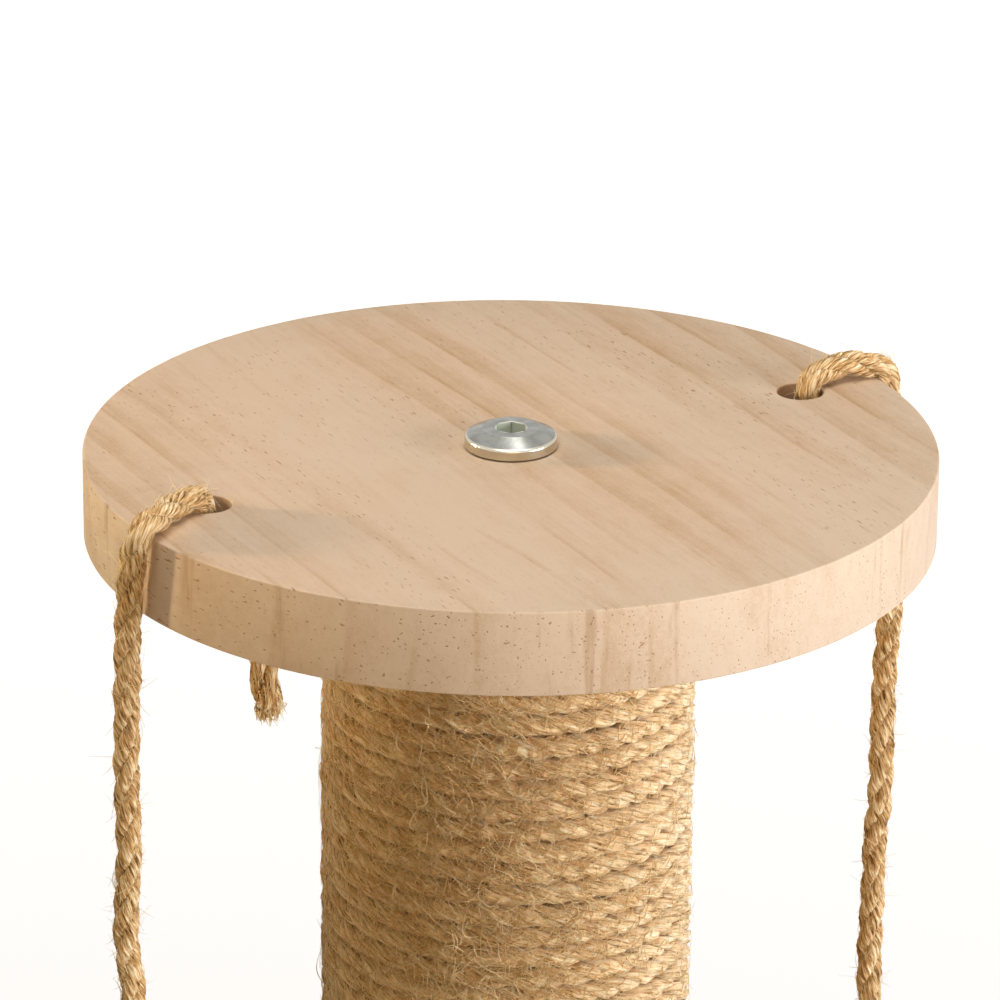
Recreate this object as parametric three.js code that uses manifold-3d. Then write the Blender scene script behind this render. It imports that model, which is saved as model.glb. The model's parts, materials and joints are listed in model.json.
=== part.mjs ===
// A cat scratching post: a round pine base on felt pads, a tube wound with jute cord, and a round pine
// top disc. Two jute ropes come up through the disc, go over its rim and hang down with a pine ball each.
// Millimetres, +Z up. The origin is on the floor under the post's middle, and +X runs through the hole
// of the right rope.
import * as THREE from "three";
import { mergeVertices } from "three/addons/utils/BufferGeometryUtils.js";
import Module from "manifold-3d";

const wasm = await Module();
wasm.setup();

// ---- Driving dimensions ----
const seatGap = 0.3; // left between two pieces that touch

const padCount = 4;
const padRadius = 15;
const padThickness = 3;
const padRingRadius = 145;

const baseRadius = 175;
const baseThickness = 18;
const baseTopRounding = 4;
const baseBottomEase = 1;
const counterboreRadius = 12;
const counterboreDepth = 6;

const postLength = 460; // between the two boards
const tubeRadius = 35;
const tubeWall = 4;
const plugThickness = 30;

const windingCordRadius = 2.2;
const windingPitch = 4.85;
const windingSeat = 0.6; // from the tube to the cord
const windingLoops = 24; // of the outer layer under the disc; the rest of it is a plain sleeve
const windingSteps = 24; // to a loop
const windingSides = 6;
const windingSeamDegrees = 60; // where a loop starts, at the back

const discRadius = 90;
const discThickness = 18;
const discEase = 0.8;
const ropeHoleRadius = 5;
const ropeHoleRingRadius = 71;
const ropeHoleEase = 1.2;

const boltRadius = 4;
const boltLength = 40; // under the head
const boltTipChamfer = 1;
const boltHoleClearance = 0.5;
const boltHeadRadius = 9.8;
const boltHeadHeight = 3.4;
const boltHeadRimHeight = 1.8;
const boltHeadFlatRadius = 6.3;
const boltHeadRounding = 0.6;
const hexAcrossFlats = 6;
const hexDepth = 4.6;
const hexTurnDegrees = -29;

const insertRadius = 6;
const insertLength = 20;
const insertFlangeRadius = 9;
const insertFlangeThickness = 1.5;
const insertBoreClearance = 0.3;

const ropeRadius = 3;
const ropeSides = 10;

const anchorKnotRadius = 8.5;
const anchorKnotHeight = 12;
const anchorKnotFlat = 6.6; // radius of the face that is pressed against the disc
const stopKnotRadius = 6.5;
const stopKnotHeight = 11;
const stopKnotFlat = 3.3;
const tailRadius = 3;
const tailFlare = 1; // by which a frayed end spreads
const tailLength = 19;

const ballRadius = 20;
const ballBoreClearance = 0.5;
const ballDrop = 205; // from the disc's top to the ball's centre

// ---- Heights ----
const baseUnderside = padThickness;
const baseTop = baseUnderside + baseThickness;
const discUnderside = baseTop + postLength;
const discTop = discUnderside + discThickness;

const boltHoleRadius = boltRadius + boltHoleClearance;
const windingRadius = tubeRadius + windingSeat + windingCordRadius;
const ballBoreRadius = ropeRadius + ballBoreClearance;
const ballPole = Math.sqrt(ballRadius ** 2 - ballBoreRadius ** 2);
const upperKnotBottom = -ballDrop + ballPole + seatGap;
const upperKnotTop = upperKnotBottom + stopKnotHeight;
const endKnotTop = -ballDrop - ballPole - seatGap;

// ---- Routes of the hanging ropes ----
// Each point is x, y and height over the disc's top. A rope comes up through its hole, lies over the top
// and bends over the rim. It is parted at the crest, where it swings along the rim, and at the pivot
// beside the rim, where it swings out. Below the pivot it hangs in its own slight set to the ball.
const pivotHeight = -12;
const bendEnd = pivotHeight + ropeRadius + seatGap;
const hangEnd = upperKnotTop + seatGap;

const rightRope = {
  over: [
    [71.8, 0, -discThickness],
    [72, 0, -9],
    [72.3, 0, -3.4],
    [72.9, 0, 0.2],
    [74.5, 0, 3],
    [77.2, 0, 4.8],
    [80.2, 0, 5.2],
    [83.2, 0, 5.2],
  ],
  bend: [
    [83.5, 0, 5.2],
    [85.6, 0, 5.2],
    [89, 0, 4.6],
    [92.3, 0, 2.6],
    [94.7, 0, -0.6],
    [95.6, 0, -4.8],
    [95.6, 0, bendEnd],
  ],
  hanging: [
    [95.6, 0, pivotHeight],
    [95.6, 0, -16],
    [95.7, -0.3, -24],
    [95.8, -0.9, -36],
    [95.9, -1.2, -50],
    [95.9, -1, -64],
    [95.8, -0.5, -80],
    [95.6, 0.3, -98],
    [95.4, 1.2, -116],
    [95.2, 1.7, -134],
    [95.3, 1.2, -150],
    [95.5, 0.4, -162],
    [95.6, 0, -169],
    [95.6, 0, hangEnd],
  ],
  anchorKnot: [70, 0],
  anchorTail: [-3, 2],
  tailTip: [-6, 4],
};

const leftRope = {
  over: [
    [-71.8, -0.2, -discThickness],
    [-71.9, -0.4, -9],
    [-72.1, -0.7, -3.4],
    [-72.6, -1.2, 0.2],
    [-74, -2.6, 3],
    [-76.7, -5, 4.5],
    [-79.4, -7.4, 4.8],
    [-81.5, -9.1, 4.6],
    [-83.2, -10.02, 4.4],
    [-84.4, -10.3, 4.4],
  ],
  bend: [
    [-84.69, -10.37, 4.4],
    [-86.25, -10.73, 4.4],
    [-88.98, -11.36, 3.7],
    [-91.42, -11.92, 2.1],
    [-92.88, -12.26, -1],
    [-93.29, -12.35, -5],
    [-93.36, -12.37, bendEnd],
  ],
  hanging: [
    [-93.36, -12.37, pivotHeight],
    [-93.38, -12.3, -15],
    [-93.6, -11.4, -21],
    [-93.7, -10.1, -29],
    [-93.7, -8.7, -39],
    [-93.6, -7.8, -52],
    [-93.5, -7.4, -70],
    [-93.5, -7.7, -90],
    [-93.5, -8.8, -112],
    [-93.5, -10.2, -135],
    [-93.4, -11.6, -155],
    [-93.36, -12.3, -168],
    [-93.36, -12.37, hangEnd],
  ],
  anchorKnot: [-69.4, -1.8],
  anchorTail: [7.2, -3.2],
  tailTip: [1.8, -1],
};

// ---- Materials ----
const pine = new THREE.MeshStandardMaterial({ color: 0xe3c49c, roughness: 0.7, metalness: 0 });
const jute = new THREE.MeshStandardMaterial({ color: 0xb98f55, roughness: 0.95, metalness: 0 });
const zinc = new THREE.MeshStandardMaterial({ color: 0xc4c6c8, roughness: 0.3, metalness: 1 });
const paper = new THREE.MeshStandardMaterial({ color: 0xa98d6b, roughness: 0.9, metalness: 0 });
const felt = new THREE.MeshStandardMaterial({ color: 0x6b5a48, roughness: 1, metalness: 0 });

// ---- Helpers ----
const radians = (degrees) => (degrees * Math.PI) / 180;

// A closed geometry as a solid that can be joined and cut.
function solidOf(geometry) {
  const bare = geometry.clone();
  bare.deleteAttribute("normal");
  bare.deleteAttribute("uv");
  const merged = mergeVertices(bare, 1e-4);
  const mesh = new wasm.Mesh({
    numProp: 3,
    vertProperties: merged.attributes.position.array,
    triVerts: new Uint32Array(merged.index.array),
  });
  return new wasm.Manifold(mesh);
}

function geometryOf(solid) {
  const mesh = solid.getMesh();
  const geometry = new THREE.BufferGeometry();
  geometry.setAttribute("position", new THREE.BufferAttribute(mesh.vertProperties, 3));
  geometry.setIndex(new THREE.BufferAttribute(mesh.triVerts, 1));
  geometry.computeVertexNormals();
  return geometry;
}

// A turned piece about Z. The profile's [radius, height] points run anticlockwise round the section.
function turned(profile, segments) {
  const points = profile.map(([radius, height]) => new THREE.Vector2(radius, height));
  return new THREE.LatheGeometry(points, segments).rotateX(Math.PI / 2);
}

// A ring's section closes on itself.
function turnedRing(profile, segments) {
  return turned([...profile, profile[0]], segments);
}

// Points of an arc in a profile, from one angle to another in degrees.
function arc(centreRadius, centreHeight, radius, from, to, steps) {
  const points = [];
  for (let i = 0; i <= steps; i += 1) {
    const angle = radians(from + ((to - from) * i) / steps);
    points.push([centreRadius + radius * Math.cos(angle), centreHeight + radius * Math.sin(angle)]);
  }
  return points;
}

function meshOf(name, geometry, material) {
  const mesh = new THREE.Mesh(geometry, material);
  mesh.name = name;
  return mesh;
}

// ---- Base ----
function basePlate() {
  const rounding = baseTopRounding;
  const ease = baseBottomEase;
  const profile = [
    [counterboreRadius, 0],
    ...arc(baseRadius - ease, ease, ease, -90, 0, 2),
    ...arc(baseRadius - rounding, baseThickness - rounding, rounding, 0, 90, 4),
    [boltHoleRadius, baseThickness],
    [boltHoleRadius, counterboreDepth],
    [counterboreRadius, counterboreDepth],
  ];
  const plate = meshOf("base_plate", turnedRing(profile, 60), pine);
  plate.position.z = baseUnderside;
  return plate;
}

function feltPads() {
  const pads = new THREE.Group();
  const height = padThickness - seatGap;
  for (let i = 0; i < padCount; i += 1) {
    const angle = (2 * Math.PI * (i + 0.5)) / padCount;
    const disc = new THREE.CylinderGeometry(padRadius, padRadius, height, 24).rotateX(Math.PI / 2);
    const pad = meshOf(`felt_pad_${i + 1}`, disc, felt);
    pad.position.set(padRingRadius * Math.cos(angle), padRingRadius * Math.sin(angle), height / 2);
    pads.add(pad);
  }
  return pads;
}

// ---- Post ----
function postTube() {
  const inner = tubeRadius - tubeWall;
  const length = postLength - 2 * seatGap;
  const profile = [[inner, 0], [tubeRadius, 0], [tubeRadius, length], [inner, length]];
  const tube = meshOf("post_tube", turnedRing(profile, 48), paper);
  tube.position.z = baseTop + seatGap;
  return tube;
}

// The plug that is glued into an end of the tube, with its mouth at height 0 and its body below.
function plugGeometry() {
  const outer = tubeRadius - tubeWall - seatGap;
  const bore = insertRadius + seatGap;
  const recess = insertFlangeRadius + seatGap;
  const recessDepth = insertFlangeThickness + seatGap;
  const profile = [
    [bore, -plugThickness],
    [outer, -plugThickness],
    [outer, 0],
    [recess, 0],
    [recess, -recessDepth],
    [bore, -recessDepth],
  ];
  return turnedRing(profile, 24);
}

// The threaded insert in the plug, with the top of its flange at height 0.
function insertGeometry() {
  const bore = boltRadius + insertBoreClearance;
  const profile = [
    [bore, -insertLength],
    [insertRadius, -insertLength],
    [insertRadius, -insertFlangeThickness],
    [insertFlangeRadius, -insertFlangeThickness],
    [insertFlangeRadius, 0],
    [bore, 0],
  ];
  return turnedRing(profile, 24);
}

// A furniture bolt with its head's underside at height 0, its shank below, and a hexagonal socket.
function boltGeometry() {
  const rounding = boltHeadRounding;
  const shoulder = boltHeadRadius - rounding;
  const profile = [
    [0, -boltLength],
    [boltRadius - boltTipChamfer, -boltLength],
    [boltRadius, boltTipChamfer - boltLength],
    [boltRadius, 0],
    ...arc(shoulder, rounding, rounding, -90, 0, 2),
    ...arc(shoulder, boltHeadRimHeight - rounding, rounding, 0, 60, 2),
    [boltHeadFlatRadius, boltHeadHeight],
    [0, boltHeadHeight],
  ];
  const hexRadius = hexAcrossFlats / Math.sqrt(3);
  const above = 1;
  const socket = new THREE.CylinderGeometry(hexRadius, hexRadius, hexDepth + above, 6);
  socket.rotateX(Math.PI / 2).rotateZ(Math.PI / 2 + radians(hexTurnDegrees));
  socket.translate(0, 0, boltHeadHeight - hexDepth + (hexDepth + above) / 2);
  return geometryOf(solidOf(turned(profile, 30)).subtract(solidOf(socket)));
}

// An end of the post, pointing up: the plug, the insert and the bolt that holds the board on it.
function postEnd(prefix, clampedWood) {
  const end = new THREE.Group();
  const plug = meshOf(`${prefix}_plug`, plugGeometry(), pine);
  plug.position.z = -seatGap;
  const insert = meshOf(`${prefix}_insert`, insertGeometry(), zinc);
  insert.position.z = -seatGap;
  const bolt = meshOf(`${prefix}_bolt`, boltGeometry(), zinc);
  bolt.position.z = clampedWood + seatGap;
  end.add(plug, insert, bolt);
  return end;
}

function topEnd() {
  const end = postEnd("top", discThickness);
  end.position.z = discUnderside;
  return end;
}

function bottomEnd() {
  const end = postEnd("base", baseThickness - counterboreDepth);
  end.position.z = baseTop;
  end.rotation.x = Math.PI;
  return end;
}

// ---- Winding ----
// The cord winds down round the tube from just under the disc. Its height at a number of loops.
const windingClimb = windingPitch / (2 * Math.PI * windingRadius); // down, for each mm along
const windingTop = discUnderside - seatGap - windingCordRadius - 2 * windingCordRadius * windingClimb;
const windingHeight = (loops) => windingTop - windingPitch * loops;
const windingAngle = (loops) => radians(windingSeamDegrees) + 2 * Math.PI * loops;
// The last loop stops short of the sleeve's step by its straight end and a gap.
const windingEndGap = 2 * seatGap;
const windingEndLoops =
  windingLoops - (2 * windingCordRadius + windingEndGap) / (2 * Math.PI * windingRadius);

// The middle of the cord at a number of loops, and the directions along it and outwards.
function windingPlace(loops) {
  const angle = windingAngle(loops);
  const outwards = new THREE.Vector3(Math.cos(angle), Math.sin(angle), 0);
  const along = new THREE.Vector3(-Math.sin(angle), Math.cos(angle), -windingClimb).normalize();
  const point = outwards.clone().multiplyScalar(windingRadius);
  point.z = windingHeight(loops);
  return { point, along, outwards };
}

// The cord's route, which starts and ends with a straight stretch of one cord's diameter.
function windingRoute() {
  const steps = windingLoops * windingSteps;
  const route = [];
  for (let i = 0; i <= steps; i += 1) route.push(windingPlace((windingEndLoops * i) / steps));
  const straight = (place, length) => ({
    ...place,
    point: place.point.clone().addScaledVector(place.along, length),
  });
  const diameter = 2 * windingCordRadius;
  return [straight(route[0], -diameter), ...route, straight(route.at(-1), diameter)];
}

// The least gap between two stretches of the cord that are more than half a loop apart.
function leastGap(route, radius, apart) {
  let least = Infinity;
  for (let i = 0; i < route.length; i += 1)
    for (let j = i + apart; j < route.length; j += 1)
      least = Math.min(least, route[i].point.distanceTo(route[j].point));
  return least - 2 * radius;
}

// One closed tube along a route, with a ring of sides at each place and a fan over each end.
function tubeAlong(route, radius, sides) {
  const positions = [];
  const index = [];
  for (const { point, along, outwards } of route) {
    const across = new THREE.Vector3().crossVectors(along, outwards);
    for (let side = 0; side < sides; side += 1) {
      const angle = (2 * Math.PI * side) / sides;
      const corner = point.clone();
      corner.addScaledVector(outwards, radius * Math.cos(angle));
      corner.addScaledVector(across, radius * Math.sin(angle));
      positions.push(...corner.toArray());
    }
  }
  for (let ring = 0; ring < route.length - 1; ring += 1)
    for (let side = 0; side < sides; side += 1) {
      const here = ring * sides + side;
      const beside = ring * sides + ((side + 1) % sides);
      index.push(here, beside, beside + sides, here, beside + sides, here + sides);
    }
  const last = (route.length - 1) * sides;
  for (let side = 1; side < sides - 1; side += 1) {
    index.push(0, side + 1, side);
    index.push(last, last + side, last + side + 1);
  }
  const geometry = new THREE.BufferGeometry();
  geometry.setAttribute("position", new THREE.Float32BufferAttribute(positions, 3));
  geometry.setIndex(index);
  geometry.computeVertexNormals();
  return geometry;
}

function ropeWinding() {
  const route = windingRoute();
  const gap = leastGap(route, windingCordRadius, windingSteps / 2);
  console.log(`rope_winding: ${windingLoops} loops, least gap to itself ${gap.toFixed(3)} mm`);
  return meshOf("rope_winding", tubeAlong(route, windingCordRadius, windingSides), jute);
}

// The rest of the winding as a sleeve. Its top follows the last loop down, and ends in a step that the
// cord's end meets square.
function windingSleeve() {
  const inner = tubeRadius + seatGap;
  const outer = windingRadius + windingCordRadius;
  const bottom = baseTop + seatGap;
  const columns = 48;
  const topAt = (turn) => windingHeight(windingLoops + turn) + windingCordRadius;
  const positions = [];
  // Each column holds its corners at the bottom and the top, inside and outside.
  for (let i = 0; i <= columns; i += 1) {
    const angle = windingAngle(i / columns);
    for (const height of [bottom, topAt(i / columns)])
      for (const radius of [inner, outer])
        positions.push(radius * Math.cos(angle), radius * Math.sin(angle), height);
  }
  const index = [];
  const quad = (a, b, c, d) => index.push(a, b, c, a, c, d);
  const lastColumn = 4 * columns;
  for (let i = 0; i < columns; i += 1) {
    const here = 4 * i;
    const next = i === columns - 1 ? 0 : here + 4; // the last bottom corners are the first ones
    const nextTop = here + 4;
    quad(here, next, next + 1, here + 1);
    quad(here + 2, here + 3, nextTop + 3, nextTop + 2);
    if (i === 0) {
      // The first walls also hold the foot of the step.
      index.push(1, next + 1, nextTop + 3, 1, nextTop + 3, lastColumn + 3);
      index.push(lastColumn + 3, nextTop + 3, 3);
      index.push(0, nextTop + 2, next, 0, lastColumn + 2, nextTop + 2);
      index.push(lastColumn + 2, 2, nextTop + 2);
    } else {
      quad(here + 1, next + 1, nextTop + 3, here + 3);
      quad(here, here + 2, nextTop + 2, next);
    }
  }
  quad(lastColumn + 2, lastColumn + 3, 3, 2);
  const geometry = new THREE.BufferGeometry();
  geometry.setAttribute("position", new THREE.Float32BufferAttribute(positions, 3));
  geometry.setIndex(index);
  geometry.computeVertexNormals();
  return meshOf("lower_winding", geometry, jute);
}

// ---- Top disc ----
// What a rope hole takes out of the disc, with both mouths eased.
function ropeHoleCutter() {
  const beyond = 1;
  const wide = ropeHoleRadius + ropeHoleEase + beyond;
  const profile = [
    [0, -beyond],
    [wide, -beyond],
    [ropeHoleRadius, ropeHoleEase],
    [ropeHoleRadius, discThickness - ropeHoleEase],
    [wide, discThickness + beyond],
    [0, discThickness + beyond],
  ];
  return turned(profile, 24);
}

function topDisc() {
  const edge = discRadius - discEase;
  const profile = [
    [boltHoleRadius, 0],
    ...arc(edge, discEase, discEase, -90, 0, 2),
    ...arc(edge, discThickness - discEase, discEase, 0, 90, 2),
    [boltHoleRadius, discThickness],
  ];
  let solid = solidOf(turnedRing(profile, 72));
  for (const side of [1, -1]) {
    const cutter = ropeHoleCutter().translate(side * ropeHoleRingRadius, 0, 0);
    solid = solid.subtract(solidOf(cutter));
  }
  const disc = meshOf("top_disc", geometryOf(solid), pine);
  disc.position.z = discUnderside;
  return disc;
}

// ---- Hanging ropes ----
function ropeGeometry(points, steps) {
  const places = points.map((point) => new THREE.Vector3(...point));
  const section = new THREE.Shape();
  section.absarc(0, 0, ropeRadius, 0, 2 * Math.PI);
  return new THREE.ExtrudeGeometry(section, {
    steps,
    curveSegments: ropeSides / 2, // to each half circle
    bevelEnabled: false,
    extrudePath: new THREE.CatmullRomCurve3(places),
  });
}

// The hanging length has a round top about the pivot, so that it turns under the bend.
function hangingRopeGeometry(points) {
  const top = new THREE.SphereGeometry(ropeRadius, ropeSides, 8).rotateX(Math.PI / 2);
  top.translate(...points[0]);
  return geometryOf(solidOf(ropeGeometry(points, 14)).add(solidOf(top)));
}

// A knot from its top at height 0 down, with a flat of its own at both ends.
function knotGeometry(radius, height, flat) {
  const half = height / 2;
  const side = [];
  for (const [across, up] of arc(0, 0, 1, -90, 90, 6))
    side.push([flat + (radius - flat) * across, half * (up - 1)]);
  return turned([[0, -height], ...side, [0, 0]], 12);
}

// A knot with the frayed end of the rope hanging from it: from lies beside the knot's middle, and to is
// how far the tip lies beyond it.
function tailedKnotGeometry(radius, height, flat, from, to) {
  const tail = [
    [0, -tailLength],
    [0.5 * tailRadius, -tailLength],
    [tailRadius + tailFlare, -0.75 * tailLength],
    [tailRadius, 0],
    [0, 0],
  ];
  const hanging = new THREE.Vector3(0, 0, -1);
  const leaning = new THREE.Vector3(to[0], to[1], -tailLength).normalize();
  const turn = new THREE.Quaternion().setFromUnitVectors(hanging, leaning);
  const start = tailRadius - height; // inside the knot's lower part
  const hair = turned(tail, ropeSides).applyQuaternion(turn).translate(from[0], from[1], start);
  return geometryOf(solidOf(knotGeometry(radius, height, flat)).add(solidOf(hair)));
}

function ballGeometry() {
  const bottom = (Math.asin(-ballPole / ballRadius) * 180) / Math.PI;
  return turnedRing(arc(0, 0, ballRadius, bottom, -bottom, 12), 24);
}

function hangingToy(side, rope) {
  const toy = new THREE.Group();
  toy.position.z = discTop;
  const add = (name, geometry, material, x = 0, y = 0, z = 0) => {
    const mesh = meshOf(`${side}_${name}`, geometry, material);
    mesh.position.set(x, y, z);
    toy.add(mesh);
  };
  const anchor = tailedKnotGeometry(
    anchorKnotRadius, anchorKnotHeight, anchorKnotFlat, rope.anchorTail, rope.tailTip,
  );
  add("anchor_knot", anchor, jute, ...rope.anchorKnot, -discThickness - seatGap);
  add("rope_over_top", ropeGeometry(rope.over, 14), jute);
  add("rope_over_rim", ropeGeometry(rope.bend, 9), jute);
  add("rope_hanging", hangingRopeGeometry(rope.hanging), jute);

  const [x, y] = rope.hanging.at(-1);
  const upperKnot = knotGeometry(stopKnotRadius, stopKnotHeight, stopKnotFlat);
  add("upper_knot", upperKnot, jute, x, y, upperKnotTop);
  add("ball", ballGeometry(), pine, x, y, -ballDrop);
  const innerLength = upperKnotBottom - endKnotTop - 2 * seatGap;
  const inner = new THREE.CylinderGeometry(ropeRadius, ropeRadius, innerLength, ropeSides);
  add("rope_in_ball", inner.rotateX(Math.PI / 2), jute, x, y, -ballDrop);
  const endKnot = tailedKnotGeometry(
    stopKnotRadius, stopKnotHeight, stopKnotFlat, [0, 0], rope.tailTip,
  );
  add("end_knot", endKnot, jute, x, y, endKnotTop);
  return toy;
}

// ---- Assembly ----
const post = new THREE.Group();
post.add(
  feltPads(),
  basePlate(),
  bottomEnd(),
  postTube(),
  windingSleeve(),
  ropeWinding(),
  topEnd(),
  topDisc(),
  hangingToy("right", rightRope),
  hangingToy("left", leftRope),
);

export default post;
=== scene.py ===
"""The looks of a cat scratching post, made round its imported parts.

The boards, balls, bolts, cord, ropes, knots and pads are modelled here in metres, with +Z up and the
origin on the floor under the post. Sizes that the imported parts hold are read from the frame.
"""

from __future__ import annotations

import json
import logging
import math
from dataclasses import dataclass
from enum import Enum
from typing import Iterable, Sequence

import bmesh
import bpy
import numpy as np
from mathutils import Matrix, Quaternion, Vector

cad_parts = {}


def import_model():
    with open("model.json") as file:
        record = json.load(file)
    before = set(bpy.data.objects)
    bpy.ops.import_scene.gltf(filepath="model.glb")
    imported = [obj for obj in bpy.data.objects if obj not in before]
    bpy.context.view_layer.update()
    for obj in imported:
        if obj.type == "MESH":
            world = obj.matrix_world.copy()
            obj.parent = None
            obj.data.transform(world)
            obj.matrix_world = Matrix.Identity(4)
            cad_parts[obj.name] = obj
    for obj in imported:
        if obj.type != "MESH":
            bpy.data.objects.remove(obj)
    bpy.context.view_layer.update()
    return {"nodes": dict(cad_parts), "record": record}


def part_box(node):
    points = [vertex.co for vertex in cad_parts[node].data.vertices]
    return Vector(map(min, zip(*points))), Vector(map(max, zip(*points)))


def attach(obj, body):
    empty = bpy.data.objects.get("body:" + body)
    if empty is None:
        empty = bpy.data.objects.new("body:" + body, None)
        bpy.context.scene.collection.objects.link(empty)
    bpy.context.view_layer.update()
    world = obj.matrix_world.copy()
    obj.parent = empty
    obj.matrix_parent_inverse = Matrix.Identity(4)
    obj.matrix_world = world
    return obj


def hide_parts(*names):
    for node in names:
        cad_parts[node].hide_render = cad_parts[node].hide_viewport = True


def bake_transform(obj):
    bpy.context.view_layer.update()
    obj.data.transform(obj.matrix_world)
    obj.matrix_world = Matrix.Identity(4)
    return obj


log = logging.getLogger("scratching_post")

MM = 0.001
Colour = tuple[float, float, float, float]
Point = tuple[float, float, float]
Pair = tuple[float, float]
Span = tuple[int, int]
Socket = bpy.types.NodeSocket
Material = bpy.types.Material
Piece = bpy.types.Object
Shape = bmesh.types.BMesh
Chance = np.random.Generator
Rows = np.ndarray
Edge = bmesh.types.BMEdge
Vert = bmesh.types.BMVert


class Body(Enum):
    """The bodies that the pieces ride on."""

    POST = "post"
    RIGHT_BEND = "right_rope_bend"
    RIGHT_TOY = "right_toy_rope"
    RIGHT_BALL = "right_ball"
    LEFT_BEND = "left_rope_bend"
    LEFT_TOY = "left_toy_rope"
    LEFT_BALL = "left_ball"


class Slot(Enum):
    """The record's material slots."""

    PINE = "pine"
    JUTE = "jute"
    ZINC = "zinc"
    PAPER = "paper"
    FELT = "felt"


def srgb(red: int, green: int, blue: int) -> Colour:
    """A screen colour, each part from 0 to 255, as the linear colour that a shader takes."""

    def linear(part: int) -> float:
        """One part of the colour, from 0 to 1."""
        share = part / 255
        return share / 12.92 if share <= 0.04045 else ((share + 0.055) / 1.055) ** 2.4

    return (linear(red), linear(green), linear(blue), 1.0)


# ---- Shader maths ----


class Shade:
    """A socket of numbers, on which Python's operators add Math nodes."""

    def __init__(self, nodes: "Nodes", socket: Socket) -> None:
        """Keeps the socket and the nodes that it belongs to."""
        self.nodes = nodes
        self.socket = socket

    def maths(self, operation: str, *values: "Shade | float") -> "Shade":
        """The result of a new Math node of that operation on these values."""
        node = self.nodes.add("ShaderNodeMath", {"operation": operation}, dict(enumerate(values)))
        return Shade(self.nodes, node.outputs[0])

    def __add__(self, other: "Shade | float") -> "Shade":
        """This plus other."""
        return self.maths("ADD", self, other)

    __radd__ = __add__

    def __sub__(self, other: "Shade | float") -> "Shade":
        """This less other."""
        return self.maths("SUBTRACT", self, other)

    def __rsub__(self, other: "Shade | float") -> "Shade":
        """Other less this."""
        return self.maths("SUBTRACT", other, self)

    def __mul__(self, other: "Shade | float") -> "Shade":
        """This times other."""
        return self.maths("MULTIPLY", self, other)

    __rmul__ = __mul__

    def __pow__(self, other: float) -> "Shade":
        """This to the power of other."""
        return self.maths("POWER", self, other)

    def fraction(self) -> "Shade":
        """What lies after the decimal point."""
        return self.maths("FRACT", self)

    def hypot(self, other: "Shade") -> "Shade":
        """The long side of a right-angled triangle whose legs are this and other."""
        return (self * self + other * other) ** 0.5

    def band(self, low: float, high: float) -> "Shade":
        """Rises smoothly from 0 at low to 1 at high, or falls where high is the lower one."""
        rises = low < high
        ends = {"From Min": min(low, high), "From Max": max(low, high)}
        ends |= {"To Min": float(not rises), "To Max": float(rises)}
        smooth = {"interpolation_type": "SMOOTHSTEP"}
        node = self.nodes.add("ShaderNodeMapRange", smooth, {"Value": self, **ends})
        return Shade(self.nodes, node.outputs[0])


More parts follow.
